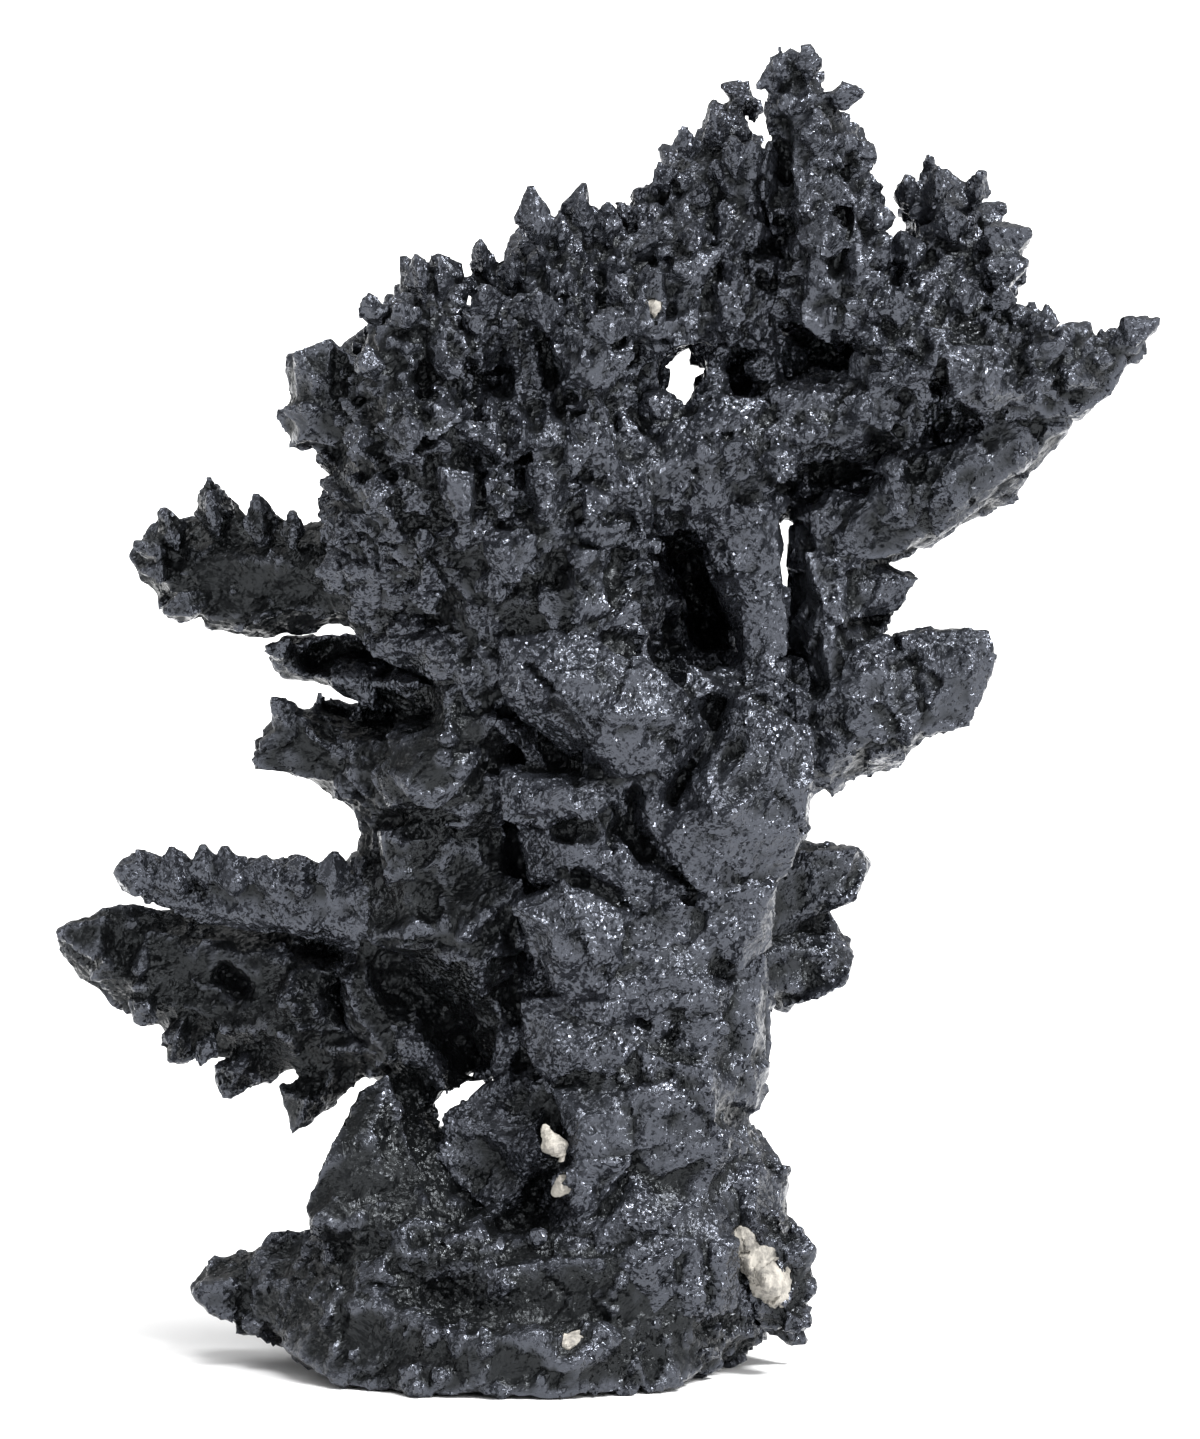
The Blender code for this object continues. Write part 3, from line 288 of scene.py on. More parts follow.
# flat-faced crystals: how far the face stands forward, then its outline in the front view, mm
SLABS = {
    "trunk_lower": (
        (0.8, ((-3.1, 15.6), (1.4, 15.7), (1.8, 13.9), (0.2, 12.5), (-1.9, 12.6), (-3.1, 13.8))),
        (0.5, ((3.9, 17.4), (6.7, 17.6), (6.7, 13.6), (6.0, 11.2), (4.6, 11.4), (3.9, 13.4))),
        (0.7, ((1.9, 19.0), (3.4, 19.2), (3.8, 17.0), (3.3, 14.2), (2.2, 13.6), (1.8, 16.6))),
        (0.5, ((-2.2, 12.4), (1.2, 12.6), (1.6, 9.6), (-0.2, 8.6), (-1.0, 9.6))),
        (0.5, ((1.6, 13.6), (4.4, 12.6), (4.6, 9.4), (2.4, 8.2), (1.4, 9.6)))),
    "trunk_upper": (
        (1.0, ((-3.4, 19.3), (-0.7, 19.8), (0.9, 19.0), (1.2, 17.2), (0.4, 16.0), (-1.7, 15.9),
               (-3.0, 17.6))),
        (0.5, ((-3.6, 24.9), (-0.9, 24.9), (-0.5, 23.7), (-1.6, 22.6), (-3.4, 23.0))),
        (0.6, ((4.5, 26.4), (5.7, 27.6), (8.4, 26.2), (8.1, 24.0), (7.7, 22.2), (7.1, 20.8),
               (4.1, 19.5), (2.3, 21.8), (3.5, 23.9))),
        (0.6, ((4.2, 19.4), (6.8, 20.6), (6.9, 18.0), (5.6, 16.8), (4.0, 17.4))),
        (1.3, ((-4.0, 27.8), (-3.9, 29.9), (-1.6, 30.2), (1.3, 29.3), (3.3, 28.0), (4.3, 26.4),
               (2.9, 25.0), (0.4, 24.6), (-1.4, 25.1))),
        (0.4, ((-3.2, 22.4), (0.2, 22.6), (1.4, 21.0), (0.8, 19.9), (-2.8, 20.0)))),
    "left_shoulder": (
        (0.9, ((-9.0, 24.8), (-7.5, 26.2), (-4.9, 26.7), (-4.0, 25.3), (-5.0, 23.9), (-6.6, 23.3),
               (-8.4, 23.5))),
        (0.7, ((-9.0, 29.6), (-5.4, 29.9), (-4.2, 28.3), (-5.6, 27.0), (-8.4, 27.2))),
        (0.7, ((-8.9, 22.6), (-5.6, 23.1), (-4.4, 21.4), (-6.0, 20.0), (-8.4, 20.2))),
        (0.9, ((-6.6, 19.6), (-3.9, 19.9), (-3.4, 16.8), (-4.6, 15.4), (-6.4, 17.0)))),
    "left_crown_outer": (
        (0.3, ((-12.2, 41.5), (-10.9, 41.9), (-9.4, 41.0), (-9.3, 38.6), (-10.8, 38.0), (-12.1, 38.1))),
        (2.0, ((-6.4, 36.7), (-5.1, 36.6), (-5.0, 35.5), (-5.3, 34.5), (-5.9, 34.7), (-6.4, 35.7)))),
    "left_crown_inner": (
        (2.2, ((-4.8, 36.5), (-3.2, 36.5), (-3.2, 35.3), (-3.7, 33.9), (-4.3, 34.3), (-4.8, 35.4))),
        (2.0, ((-2.9, 37.0), (-1.3, 36.9), (-1.3, 35.7), (-1.9, 34.5), (-2.5, 34.8), (-2.9, 35.8)))),
    "neck": (
        (1.5, ((-4.6, 34.1), (-2.5, 34.1), (-2.5, 33.1), (-3.2, 32.1), (-3.9, 32.4), (-4.6, 33.2))),
        (1.2, ((-1.2, 33.7), (0.5, 33.7), (0.4, 32.8), (-0.1, 32.1), (-0.6, 32.2), (-1.1, 32.9))),
        (1.3, ((-9.9, 34.9), (-6.6, 35.0), (-5.4, 32.4), (-7.2, 30.9), (-9.9, 31.6))),
        (0.6, ((-2.4, 32.0), (0.4, 32.0), (0.6, 31.0), (-1.0, 30.4), (-2.4, 30.9)))),
    "foot_fin": (
        (0.3, ((-11.9, 7.4), (-11.0, 9.4), (-9.6, 11.8), (-8.4, 12.4), (-7.4, 9.0), (-9.0, 6.4),
               (-11.6, 6.4))),),
    "left_arm_low": (
        (0.3, ((-13.9, 25.5), (-11.6, 26.6), (-9.4, 26.2), (-9.4, 24.1), (-11.4, 24.2), (-13.6, 24.8))),),
    "stub_upper_right": (
        (0.2, ((8.0, 21.4), (10.2, 21.7), (10.9, 20.9), (10.2, 19.6), (9.0, 19.0), (7.8, 18.8))),),
    "stub_lower_right": (
        (0.2, ((7.2, 18.0), (9.4, 18.2), (10.1, 17.4), (9.8, 16.4), (8.6, 15.8), (7.3, 15.3))),),
    "grain_large": ((0.5, ((5.0, 6.1), (5.9, 6.4), (6.9, 6.0), (6.9, 4.9), (6.1, 4.7), (5.3, 5.2))),),
    "right_fan": (
        (0.5, ((8.2, 33.8), (9.9, 33.2), (9.7, 30.0), (9.0, 27.8), (8.1, 28.2))),
        (0.1, ((7.7, 34.6), (8.8, 34.5), (8.8, 29.4), (7.75, 29.2))),
        (0.5, ((9.2, 33.0), (10.8, 33.1), (12.6, 32.5), (11.8, 31.2), (9.8, 31.0))),
        (0.4, ((9.4, 29.6), (11.4, 30.2), (12.6, 28.0), (11.2, 25.6), (9.6, 26.2))),
        (0.4, ((11.8, 30.4), (15.5, 30.3), (16.1, 29.3), (14.7, 26.6), (12.9, 26.1), (12.5, 28.4))),
        (0.5, ((9.4, 26.0), (11.6, 26.2), (12.0, 25.0), (10.6, 24.6)))),
    "right_blade": (
        (0.4, ((9.0, 35.0), (10.4, 36.9), (12.6, 37.5), (13.2, 35.4), (12.2, 33.8), (10.8, 33.2),
               (9.4, 33.9))),
        (0.5, ((12.8, 37.6), (15.0, 38.1), (17.4, 38.4), (16.8, 37.0), (15.2, 35.3), (13.2, 34.2),
               (13.0, 35.6)))),
    "right_cluster": (
        (0.8, ((13.6, 41.6), (16.2, 41.4), (17.0, 39.6), (15.6, 38.6), (14.0, 39.4))),
        (0.0, ((17.6, 41.0), (20.2, 41.8), (20.9, 41.2), (20.4, 39.9), (19.2, 38.8), (17.8, 38.6)))),
    "beam": (
        (0.6, ((10.4, 41.0), (12.6, 40.4), (12.9, 38.4), (11.8, 37.6), (10.2, 38.6))),
        (0.4, ((6.6, 39.8), (8.4, 40.8), (10.2, 40.2), (9.8, 38.4), (7.8, 37.6), (6.8, 38.4))),
        (0.4, ((2.6, 38.6), (4.8, 39.8), (6.6, 39.4), (6.4, 37.6), (4.6, 36.6), (2.6, 37.2)))),
    "pillar": (
        (0.3, ((3.9, 35.0), (5.8, 35.4), (7.2, 34.8), (7.3, 29.4), (5.9, 28.4), (5.1, 30.6), (4.2, 33.2))),),
}
# crevices, in mm of the front view: line from and to, each across and up, then width and depth
UNDER_BEAM = (
    (8.2, 34.9, 9.3, 36.6, 0.9, 2.4), (9.3, 36.6, 10.9, 37.6, 0.7, 2.4),
    (10.9, 37.6, 12.9, 38.1, 0.5, 2.2), (13.3, 40.4, 13.3, 38.5, 0.6, 2.4),
    (11.6, 39.3, 12.9, 38.3, 0.35, 1.6), (13.2, 38.6, 15.0, 38.5, 0.45, 2.0))
BETWEEN_TEETH = (
    (-4.95, 36.3, -4.9, 34.4, 0.3, 1.6), (-3.05, 36.5, -3.0, 34.3, 0.3, 1.6),
    (-1.1, 36.7, -1.0, 35.0, 0.3, 1.4), (-6.5, 37.1, -1.2, 37.4, 0.35, 1.2))
CREVICES = {
    "beam": UNDER_BEAM,
    "right_cluster": UNDER_BEAM,
    "right_blade": UNDER_BEAM,
    "right_fan": ((7.9, 30.2, 8.2, 28.2, 0.8, 1.8), (9.0, 30.9, 11.6, 30.8, 0.35, 0.9),
                  (12.2, 30.0, 12.9, 27.0, 0.3, 0.5)),
    "left_arm_high": ((-11.2, 29.0, -9.0, 29.6, 1.1, 2.2),),
    "left_arm_low": ((-10.4, 26.9, -7.4, 26.4, 1.3, 2.4),),
    "foot_fin": ((-7.0, 11.4, -5.0, 6.8, 2.0, 1.0),),
    "trunk_upper": (
        (4.6, 27.4, 4.0, 25.6, 0.7, 1.9), (4.0, 25.6, 3.0, 23.6, 0.7, 1.9),
        (1.1, 23.6, 1.1, 22.2, 0.6, 1.6), (1.1, 22.2, 1.8, 21.2, 0.8, 1.6),
        (1.8, 21.2, 3.6, 19.6, 0.5, 1.1), (-3.4, 26.9, -1.0, 24.8, 0.5, 1.1)),
    "trunk_lower": (
        (1.0, 16.2, 1.4, 17.6, 0.5, 1.3), (1.4, 17.6, 1.75, 14.6, 0.4, 1.1),
        (2.6, 13.9, 2.9, 14.1, 0.35, 0.6), (5.3, 16.4, 5.4, 14.8, 0.4, 0.6),
        (-2.6, 15.9, 0.8, 15.9, 0.35, 0.7)),
    "left_shoulder": (
        (-7.4, 16.6, -4.9, 12.8, 1.9, 3.2), (-10.8, 29.5, -6.4, 28.9, 1.5, 3.4),
        (-10.8, 27.1, -6.8, 27.0, 1.2, 3.0), (-8.6, 23.1, -5.6, 22.9, 0.5, 0.9)),
    "lower_left_spear": (
        (-9.6, 15.6, -5.0, 13.0, 1.9, 3.0), (-11.0, 19.4, -7.5, 19.0, 0.9, 1.6),
        (-15.3, 16.4, -14.5, 15.9, 0.6, 1.2), (-11.6, 17.6, -10.4, 17.2, 0.7, 0.7),
        (-12.0, 13.9, -10.4, 14.4, 0.7, 0.8)),
    "back_wall": ((3.2, 33.4, 4.9, 28.9, 1.1, 2.2),),
    "neck": ((3.2, 33.4, 4.9, 28.9, 1.0, 2.2), (-9.4, 35.2, -6.0, 34.9, 0.4, 0.8)),
    "top_crown_left": ((7.5, 50.4, 7.2, 45.2, 0.8, 1.6), (4.4, 48.2, 4.1, 45.2, 0.5, 0.9)),
    "top_crown_right": ((7.5, 50.4, 7.4, 45.0, 0.8, 1.6), (9.9, 48.4, 9.6, 44.6, 0.5, 0.9)),
    "left_crown_outer": (
        (-9.8, 40.4, -8.4, 36.2, 0.6, 1.0), (-7.0, 41.4, -6.9, 38.2, 0.5, 1.0)) + BETWEEN_TEETH,
    "left_crown_inner": (
        (-4.2, 42.6, -3.9, 39.6, 0.6, 1.0), (-2.0, 41.4, -1.8, 38.8, 0.5, 0.9)) + BETWEEN_TEETH,
}


# --- arrays ---
TINY = 1e-12  # keeps a division from being by zero
WORD = 0xFFFFFFFF  # the largest number that 32 bits hold
AXIS_ODDS = [np.uint32(odd) for odd in (0x9E3779B1, 0x85EBCA77, 0xC2B2AE3D)]
STIR_ODDS = [np.uint32(odd) for odd in (0x2C1B3C6D, 0x297A2D39)]
SEED_ODD = 0x27D4EB2F


def unit(vectors):
    """Rows scaled to length one."""
    return vectors / np.maximum(np.linalg.norm(vectors, axis=-1, keepdims=True), TINY)


def triples(items, name, kind=np.float32):
    """A property that has three numbers for each item of a mesh, one row per item."""
    numbers = np.empty(len(items) * 3, kind)
    items.foreach_get(name, numbers)
    return numbers.reshape(-1, 3)


def solid_arrays(node):
    """Corner points (metres) and triangles of a frame solid, with equal corners merged."""
    mesh = node.data
    mesh.calc_loop_triangles()
    faces = triples(mesh.loop_triangles, "vertices", np.int32)
    points, index = np.unique(triples(mesh.vertices, "co"), axis=0, return_inverse=True)
    return points.astype(float), index.reshape(-1)[faces]


def new_mesh(name, points, faces):
    """A mesh from arrays of points and of faces, all with the same number of corners."""
    mesh = bpy.data.meshes.new(name)
    mesh.vertices.add(len(points))
    mesh.vertices.foreach_set("co", points.astype(np.float32).ravel())
    mesh.loops.add(faces.size)
    mesh.loops.foreach_set("vertex_index", faces.astype(np.int32).ravel())
    mesh.polygons.add(len(faces))
    starts = np.arange(len(faces), dtype=np.int32) * faces.shape[1]
    mesh.polygons.foreach_set("loop_start", starts)
    mesh.update(calc_edges=True)
    return mesh


def put(name, data):
    """A new object in the scene."""
    item = bpy.data.objects.new(name, data)
    bpy.context.scene.collection.objects.link(item)
    return item


def mixed(cells, seed):
    """Three repeatable numbers from 0 to 1 for each whole-number cell: its coordinates are
    multiplied by large odd numbers and combined, then shuffled by shifts and odd numbers."""
    columns = cells.astype(np.int64).astype(np.uint32).T
    key = np.uint32(seed * SEED_ODD & WORD)
    for column, odd in zip(columns, AXIS_ODDS):
        key = key ^ column * odd
    numbers = []
    for _ in range(3):
        for shift, odd in zip((15, 12), STIR_ODDS):
            key = (key ^ key >> np.uint32(shift)) * odd
        key = key ^ key >> np.uint32(15)
        numbers.append(key / float(WORD))
    return np.stack(numbers, axis=1)


def lattice(*steps):
    """All triples that can be made of the given steps."""
    return np.stack(np.meshgrid(steps, steps, steps), -1).reshape(-1, 3)


def facet_field(points, size, seed):
    """Broken flat faces, from about -1 to 1: each point takes the nearest of the random spots,
    one in each cube of the given size, and reads a plane through that spot with a random tilt,
    raised by half of its tilt along X."""
    scaled = points / size
    base = np.floor(scaled)
    nearest = np.full(len(points), np.inf)
    height = np.zeros(len(points))
    for step in lattice(-1, 0, 1):
        cell = base + step
        away = scaled - cell - mixed(cell, seed)
        distance = np.einsum("ij,ij->i", away, away)
        tilt = mixed(cell, seed + 1) * 2 - 1
        closer = distance < nearest
        nearest = np.where(closer, distance, nearest)
        plane = np.einsum("ij,ij->i", away, tilt) + tilt[:, 0] * 0.5
        height = np.where(closer, plane, height)
    return height


def broken(points, faces, seed):
    """How far broken faces lift each point, in metres: the facet fields of all the pairs of
    size and depth, each with its own seed."""
    lift = np.zeros(len(points))
    for order, (size, depth) in enumerate(faces):
        lift += facet_field(points, size * MM, order * 2 + seed) * depth * MM
    return lift


def eased(share):
    """A smooth step from 0 to 1: three squares less two cubes."""
    return share * share * (3 - 2 * share)


def smooth_field(points, size, seed):
    """Soft random hills from -1 to 1: random numbers at the corners of cubes of the given
    size, blended with a smooth step along each axis."""
    scaled = points / size
    base = np.floor(scaled)
    share = eased(scaled - base)
    total = np.zeros(len(points))
    for corner in lattice(0, 1):
        weight = np.prod(np.where(corner, share, 1 - share), axis=1)
        total += weight * (mixed(base + corner, seed)[:, 0] * 2 - 1)
    return total


# --- crystals ---
# outline of a crystal: share of its length and share of its width, from the root to the tip
TOOTH = np.array([(0.0, 0.15), (0.5, 1.0), (0.84, 0.48), (1.0, 0.14)])


def crystals(roots, tips, widths, side):
    """Blunt square crystals, one per row: a square of four corners, the first towards `side`,
    is carried from root to tip and scaled by TOOTH, and both ends are closed."""
    along = unit(tips - roots)
    first = unit(side - along * np.sum(side * along, axis=1, keepdims=True))
    second = np.cross(along, first)
    arms = np.stack([first, second, -first, -second], axis=1)
    shares, scales = TOOTH.T
    centres = roots[:, None] + (tips - roots)[:, None] * shares[None, :, None]
    reach = widths[:, None] * scales[None, :]
    points = centres[:, :, None] + arms[:, None] * reach[:, :, None, None]
    top = len(shares) * 4 - 4
    quads = []
    for low in range(0, top, 4):
        for corner in range(4):
            after = (corner + 1) % 4
            quads.append((low + corner, low + after, low + 4 + after, low + 4 + corner))
    quads = np.array(quads + [(3, 2, 1, 0), (top, top + 1, top + 2, top + 3)])
    halves = np.concatenate([quads[:, [0, 1, 2]], quads[:, [0, 2, 3]]])
    faces = halves[None] + np.arange(len(roots))[:, None, None] * (top + 4)
    return points.reshape(-1, 3), faces.reshape(-1, 3)


def scattered(points, faces, crop, growth, chance):
    """One crop of crystals spread over a core by area. Each stands along its spot's face
    normal, leant towards the branch's growth. Those whose tips would be nearer the floor than
    the margin, or past the frame's box by more than it, or over a pale grain are left out."""
    corners = points[faces]
    crossed = np.cross(corners[:, 1] - corners[:, 0], corners[:, 2] - corners[:, 0])
    areas = np.linalg.norm(crossed, axis=1) / 2
    count = int(areas.sum() / MM**2 * crop.crowd)
    picked = chance.choice(len(faces), count, p=areas / areas.sum())
    blend = chance.dirichlet((1, 1, 1), count)
    spots = np.einsum("ij,ijk->ik", blend, corners[picked])
    axis = unit(crossed[picked])
    axis = unit(axis + growth * crop.lean + chance.normal(0, LEAN_SCATTER, (count, 3)))
    extra = (crop.longest - crop.shortest) * chance.random(count) ** MOSTLY_SHORT
    lengths = (crop.shortest + extra) * MM
    widths = lengths * crop.width * chance.uniform(*WIDTH_SCATTER, count)
    roots = spots - axis * lengths[:, None] * crop.sunk
    tips = spots + axis * lengths[:, None] * (1 - crop.sunk)
    side = np.cross(growth + chance.normal(0, TURN_SCATTER, (count, 3)), axis)
    low, high = np.array(cad_box)
    margin = BOX_MARGIN * MM
    kept = np.all((tips > low - (margin, margin, -margin)) & (tips < high + margin), axis=1)
    for centre, radius in GRAINS:
        kept &= np.linalg.norm(tips - centre, axis=1) > radius
    return crystals(roots[kept], tips[kept], widths[kept], side[kept])


def front_face(name):
    """A finder of the depth, in mm, of a branch's front face behind a point of the front view:
    where a ray from the viewer meets it or, if the ray misses, the place nearest to a point
    just in front."""
    points, faces = solid_arrays(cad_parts[name])
    tree = BVHTree.FromPolygons(points.tolist(), faces.tolist())

    def depth_at(across, up):
        hit = tree.ray_cast(Vector(place(across, up, OUT_IN_FRONT)), -TO_VIEWER)[0]
        if hit is None:
            hit = tree.find_nearest(Vector(place(across, up, JUST_IN_FRONT)))[0]
        return hit.y / MM

    return depth_at


def teeth(name):
    """The listed crystals on a branch, rooted behind its front face."""
    depth_at = front_face(name)
    rows = np.array(TEETH[name])
    depths = np.array([depth_at(across, up) for across, up in rows[:, :2]])
    roots = [place(*row[:2], depth + row[4] * TOOTH_ROOT) for row, depth in zip(rows, depths)]
    tips = [place(*row[2:4], depth - row[5]) for row, depth in zip(rows, depths)]
    side = np.tile(TOOTH_SIDE, (len(rows), 1))
    return crystals(np.array(roots), np.array(tips), rows[:, 4] * MM, side)


def slab(name, forward, outline):
    """A broad crystal: its outline is carried forward out of the branch, then narrows over
    slanting planes, wide and flat on a low slab and steep on a tall one, to a face that stands
    forward. Pairs of triangles join its rings, and a fan of them closes its back."""
    depth_at = front_face(name)
    rim = np.array(outline)
    centre = rim.mean(axis=0)
    inward = rim * (1 - SLAB_INWARD) + centre * SLAB_INWARD
    behind = np.array([depth_at(*point) for point in inward])
    front = np.full(len(rim), np.median(behind))
    rise, face = TALL_SIDES if forward > TALL_SLAB else LOW_SIDES
    level = behind * (1 - SLAB_LEVEL) + front * SLAB_LEVEL
    rings = []
    for reach, depths in ((1.0, behind + SLAB_ROOT), (1.0, level - forward * rise),
                          (face, front - forward), (0.0, front - forward)):
        spots = centre + (rim - centre) * reach
        rings.append([place(across, up, depth) for (across, up), depth in zip(spots, depths)])
    sides = len(rim)
    points = np.array(rings).reshape(-1, 3)
    here = np.arange(sides)
    after = (here + 1) % sides
    faces = []
    for low in range(0, len(points) - sides, sides):
        high = low + sides
        faces.append(np.stack([low + here, low + after, high + after], axis=1))
        faces.append(np.stack([low + here, high + after, high + here], axis=1))
    faces.append(np.stack([here[1:-1] * 0, here[2:], here[1:-1]], axis=1))
    faces = np.concatenate(faces)
    corners = points[faces]
    volume = np.einsum("ij,ij->i", corners[:, 0], np.cross(corners[:, 1], corners[:, 2])).sum()
    return points, faces if volume > 0 else faces[:, ::-1]


def slabs(name):
    """The flat-faced crystals on a solid, as a list of shells."""
    return [slab(name, forward, outline) for forward, outline in SLABS.get(name, ())]


def cut(points, cuts):
    """Crevices pressed away from the viewer into the front half of a branch: full depth along
    each line of the front view, easing to nothing at the cut's width. Where crevices cross,
    the deepest counts."""
    across = points[:, 0] / MM
    up = (points @ UP_IN_VIEW) / MM + FOOT_LINE
    nearness = points @ np.array(TO_VIEWER)
    middle = (nearness.min() + nearness.max()) / 2
    front = np.clip((nearness - middle) / (CUT_EASE * MM) + 0.5, 0, 1)
    deepest = np.zeros(len(points))
    for x0, v0, x1, v1, width, depth in cuts:
        run = (x1 - x0) ** 2 + (v1 - v0) ** 2 + SHORTEST_RUN
        share = np.clip(((across - x0) * (x1 - x0) + (up - v0) * (v1 - v0)) / run, 0, 1)
        away = np.hypot(across - x0 - share * (x1 - x0), up - v0 - share * (v1 - v0))
        deepest = np.maximum(deepest, depth * eased(np.clip(1 - away / width, 0, 1)))
    return points - np.array(TO_VIEWER) * (deepest * front * MM)[:, None]


def warped(points):
    """Straight edges made natural: every point moves with soft random winds, one for each pair
    of WARPS. They are the same for all branches. Their upright part dies out at the floor."""
    moved = points.copy()
    for size, reach in WARPS:
        for axis in range(3):
            wind = smooth_field(points, size * MM, WIND_SEED + axis) * reach * MM
            if axis == 2:
                wind = wind * np.clip(points[:, 2] / (CALM_HEIGHT * MM), 0, 1)
            moved[:, axis] += wind
    return moved


def joined(shells):
    """Several (points, faces) as one, with the faces renumbered."""
    starts = np.cumsum([0] + [len(points) for points, _ in shells])
    faces = [faces + start for (_, faces), start in zip(shells, starts)]
    return np.concatenate([points for points, _ in shells]), np.concatenate(faces)


# --- skins ---
def worked(points, faces, kind, **settings):
    """Points, normals and triangles of a mesh after one modifier with the given settings."""
    rough = put("rough", new_mesh("rough", points, faces))
    modifier = rough.modifiers.new("work", kind)
    for setting, value in settings.items():
        setattr(modifier, setting, value)
    graph = bpy.context.evaluated_depsgraph_get()
    mesh = bpy.data.meshes.new_from_object(rough.evaluated_get(graph))
    bpy.data.objects.remove(rough)
    mesh.calc_loop_triangles()
    points, normals = triples(mesh.vertices, "co"), triples(mesh.vertex_normals, "vector")
    faces = triples(mesh.loop_triangles, "vertices", np.int32)
    bpy.data.meshes.remove(mesh)
    return points.astype(float), normals.astype(float), faces


def voxelled(points, faces, voxel):
    """One closed skin of even quads, as triangles, round overlapping closed shells."""
    size = voxel * MM * 1
    return worked(points, faces, "REMESH", mode="VOXEL", voxel_size=size)


def carried_over(points, faces, others):
    """Points that face a neighbour across a gap, moved through the gap and into it."""
    return worked(points, faces, "SHRINKWRAP", target=others, wrap_method="PROJECT",
                  use_positive_direction=True, use_negative_direction=False,
                  project_limit=GAP_REACH * MM, offset=-GAP_OVERLAP * MM)[0]


def distance_to(points, faces, others):
    """Distance from each point to the nearest place on the others' surface, in mm."""
    nearest = worked(points, faces, "SHRINKWRAP", target=others,
                     wrap_method="NEAREST_SURFACEPOINT")[0]
    return np.linalg.norm(nearest - points, axis=1) / MM


def edge_ends(faces):
    """Both ends of every triangle's edges, each edge listed in both directions."""
    ends = np.concatenate([faces[:, [0, 1]], faces[:, [1, 2]], faces[:, [2, 0]]])
    return np.concatenate([ends, ends[:, ::-1]])


def main_body(points, faces):
    """The largest connected part: each point takes the lowest number among its neighbours,
    until nothing changes, and the commonest number wins."""
    ends = edge_ends(faces)
    ends = ends[np.argsort(ends[:, 0], kind="stable")]
    starts = np.searchsorted(ends[:, 0], np.arange(len(points)))
    number = np.arange(len(points))
    while True:
        lowest = np.minimum(number, np.minimum.reduceat(number[ends[:, 1]], starts))
        lowest = lowest[lowest]
        if np.array_equal(lowest, number):
            break
        number = lowest
    kept = number == np.bincount(number).argmax()
    return points[kept], (np.cumsum(kept) - 1)[faces[kept[faces[:, 0]]]], kept


def hollowness(points, normals, faces, rounds):
    """How far each point lies under the average of its surroundings, in metres: the average is
    taken over the triangles' edges, again and again."""
    ends = edge_ends(faces)
    count = np.maximum(np.bincount(ends[:, 0], minlength=len(points)), 1)
    evened = points
    for _ in range(rounds):
        sums = [np.bincount(ends[:, 0], evened[ends[:, 1], axis], len(points)) for axis in range(3)]
        evened = evened * (1 - EVENED) + np.stack(sums, axis=1) / count[:, None] * EVENED
    return np.einsum("ij,ij->i", evened - points, normals)


def skin(name, habit, growth, shade_paint, seed, others, apart, slit):
    """One branch's skin: the frame's solid is sunk by the habit's inset, except where it is
    carried over to one of the others, crystals are set on it and crevices pressed in, all is
    remeshed as one, and the broken faces are worked in along the normals. Towards the branches
    that stay apart it isn't carried over, but swells by `slit`, in mm. Each point's painted
    shade, which darkens its tint and lowers its shine, is a half, plus the branch's own painted
    shade (painted light below zero), plus a half of its hollow over the full one, kept from 0 to 1."""
    chance = np.random.default_rng(seed)
    growth = unit(np.array(growth, float))
    core, normals, faces = voxelled(*solid_arrays(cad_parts[name]), CORE_VOXEL)
    bridged = carried_over(core, faces, others)
    crossed = np.linalg.norm(bridged - core, axis=1) > CARRIED * MM
    closed = crossed.copy()
    if apart:
        facing = carried_over(core, faces, apart)
        closed |= np.linalg.norm(facing - core, axis=1) > CARRIED * MM
    near = np.clip((distance_to(core, faces, others) - SEAM_NEAR) / SEAM_EASE, 0, 1)
    wave_size, wave_share = INSET_WAVE
    waves = smooth_field(core, wave_size * MM, seed) * wave_share
    sunk = habit.inset * (1 + waves) * ~closed
    sunk = sunk * near - SEAM_SWELL * (1 - near) * ~closed - slit * (closed & ~crossed)
    core = np.where(crossed[:, None], bridged, core - normals * sunk[:, None] * MM)
    open_faces = faces[~closed[faces].any(axis=1)]
    shells = [(core, faces)]
    shells += [scattered(core, open_faces, crop, growth, chance) for crop in habit.crops]
    if name in TEETH:
        shells.append(teeth(name))
    points, faces = joined(shells + slabs(name))
    points = warped(cut(points, CREVICES.get(name, ()) + GRAIN_PITS))
    points, normals, faces = voxelled(points, faces, habit.voxel)
    points, faces, kept = main_body(points, faces)
    normals = normals[kept]
    lift = broken(points, habit.faces, BRANCH_SEED)
    lift -= hollowness(points, normals, faces, CRISP_ROUNDS) * habit.crisp
    points += normals * lift[:, None]
    points[:, 2] = np.maximum(points[:, 2], 0)
    # painted shade: the wide hollows are darkened, and the branch's own painted shade or light is added
    hollow = hollowness(points, normals, faces, SHADE_ROUNDS) / (FULL_HOLLOW * MM)
    mesh = new_mesh(name + "_skin", points, faces)
    shade = mesh.attributes.new("painted_shade", "FLOAT", "POINT")
    shade.data.foreach_set("value", np.clip(hollow * 0.5 + 0.5 + shade_paint, 0, 1).astype(np.float32))
    mesh.set_sharp_from_angle(angle=CREASE)
    return put(name + "_skin", mesh)


def as_one(names):
    """The named frame solids as one helper object, or None without any."""
    if not names:
        return None
    points, faces = joined([solid_arrays(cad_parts[name]) for name in names])
    return put("neighbours", new_mesh("neighbours", points, faces))


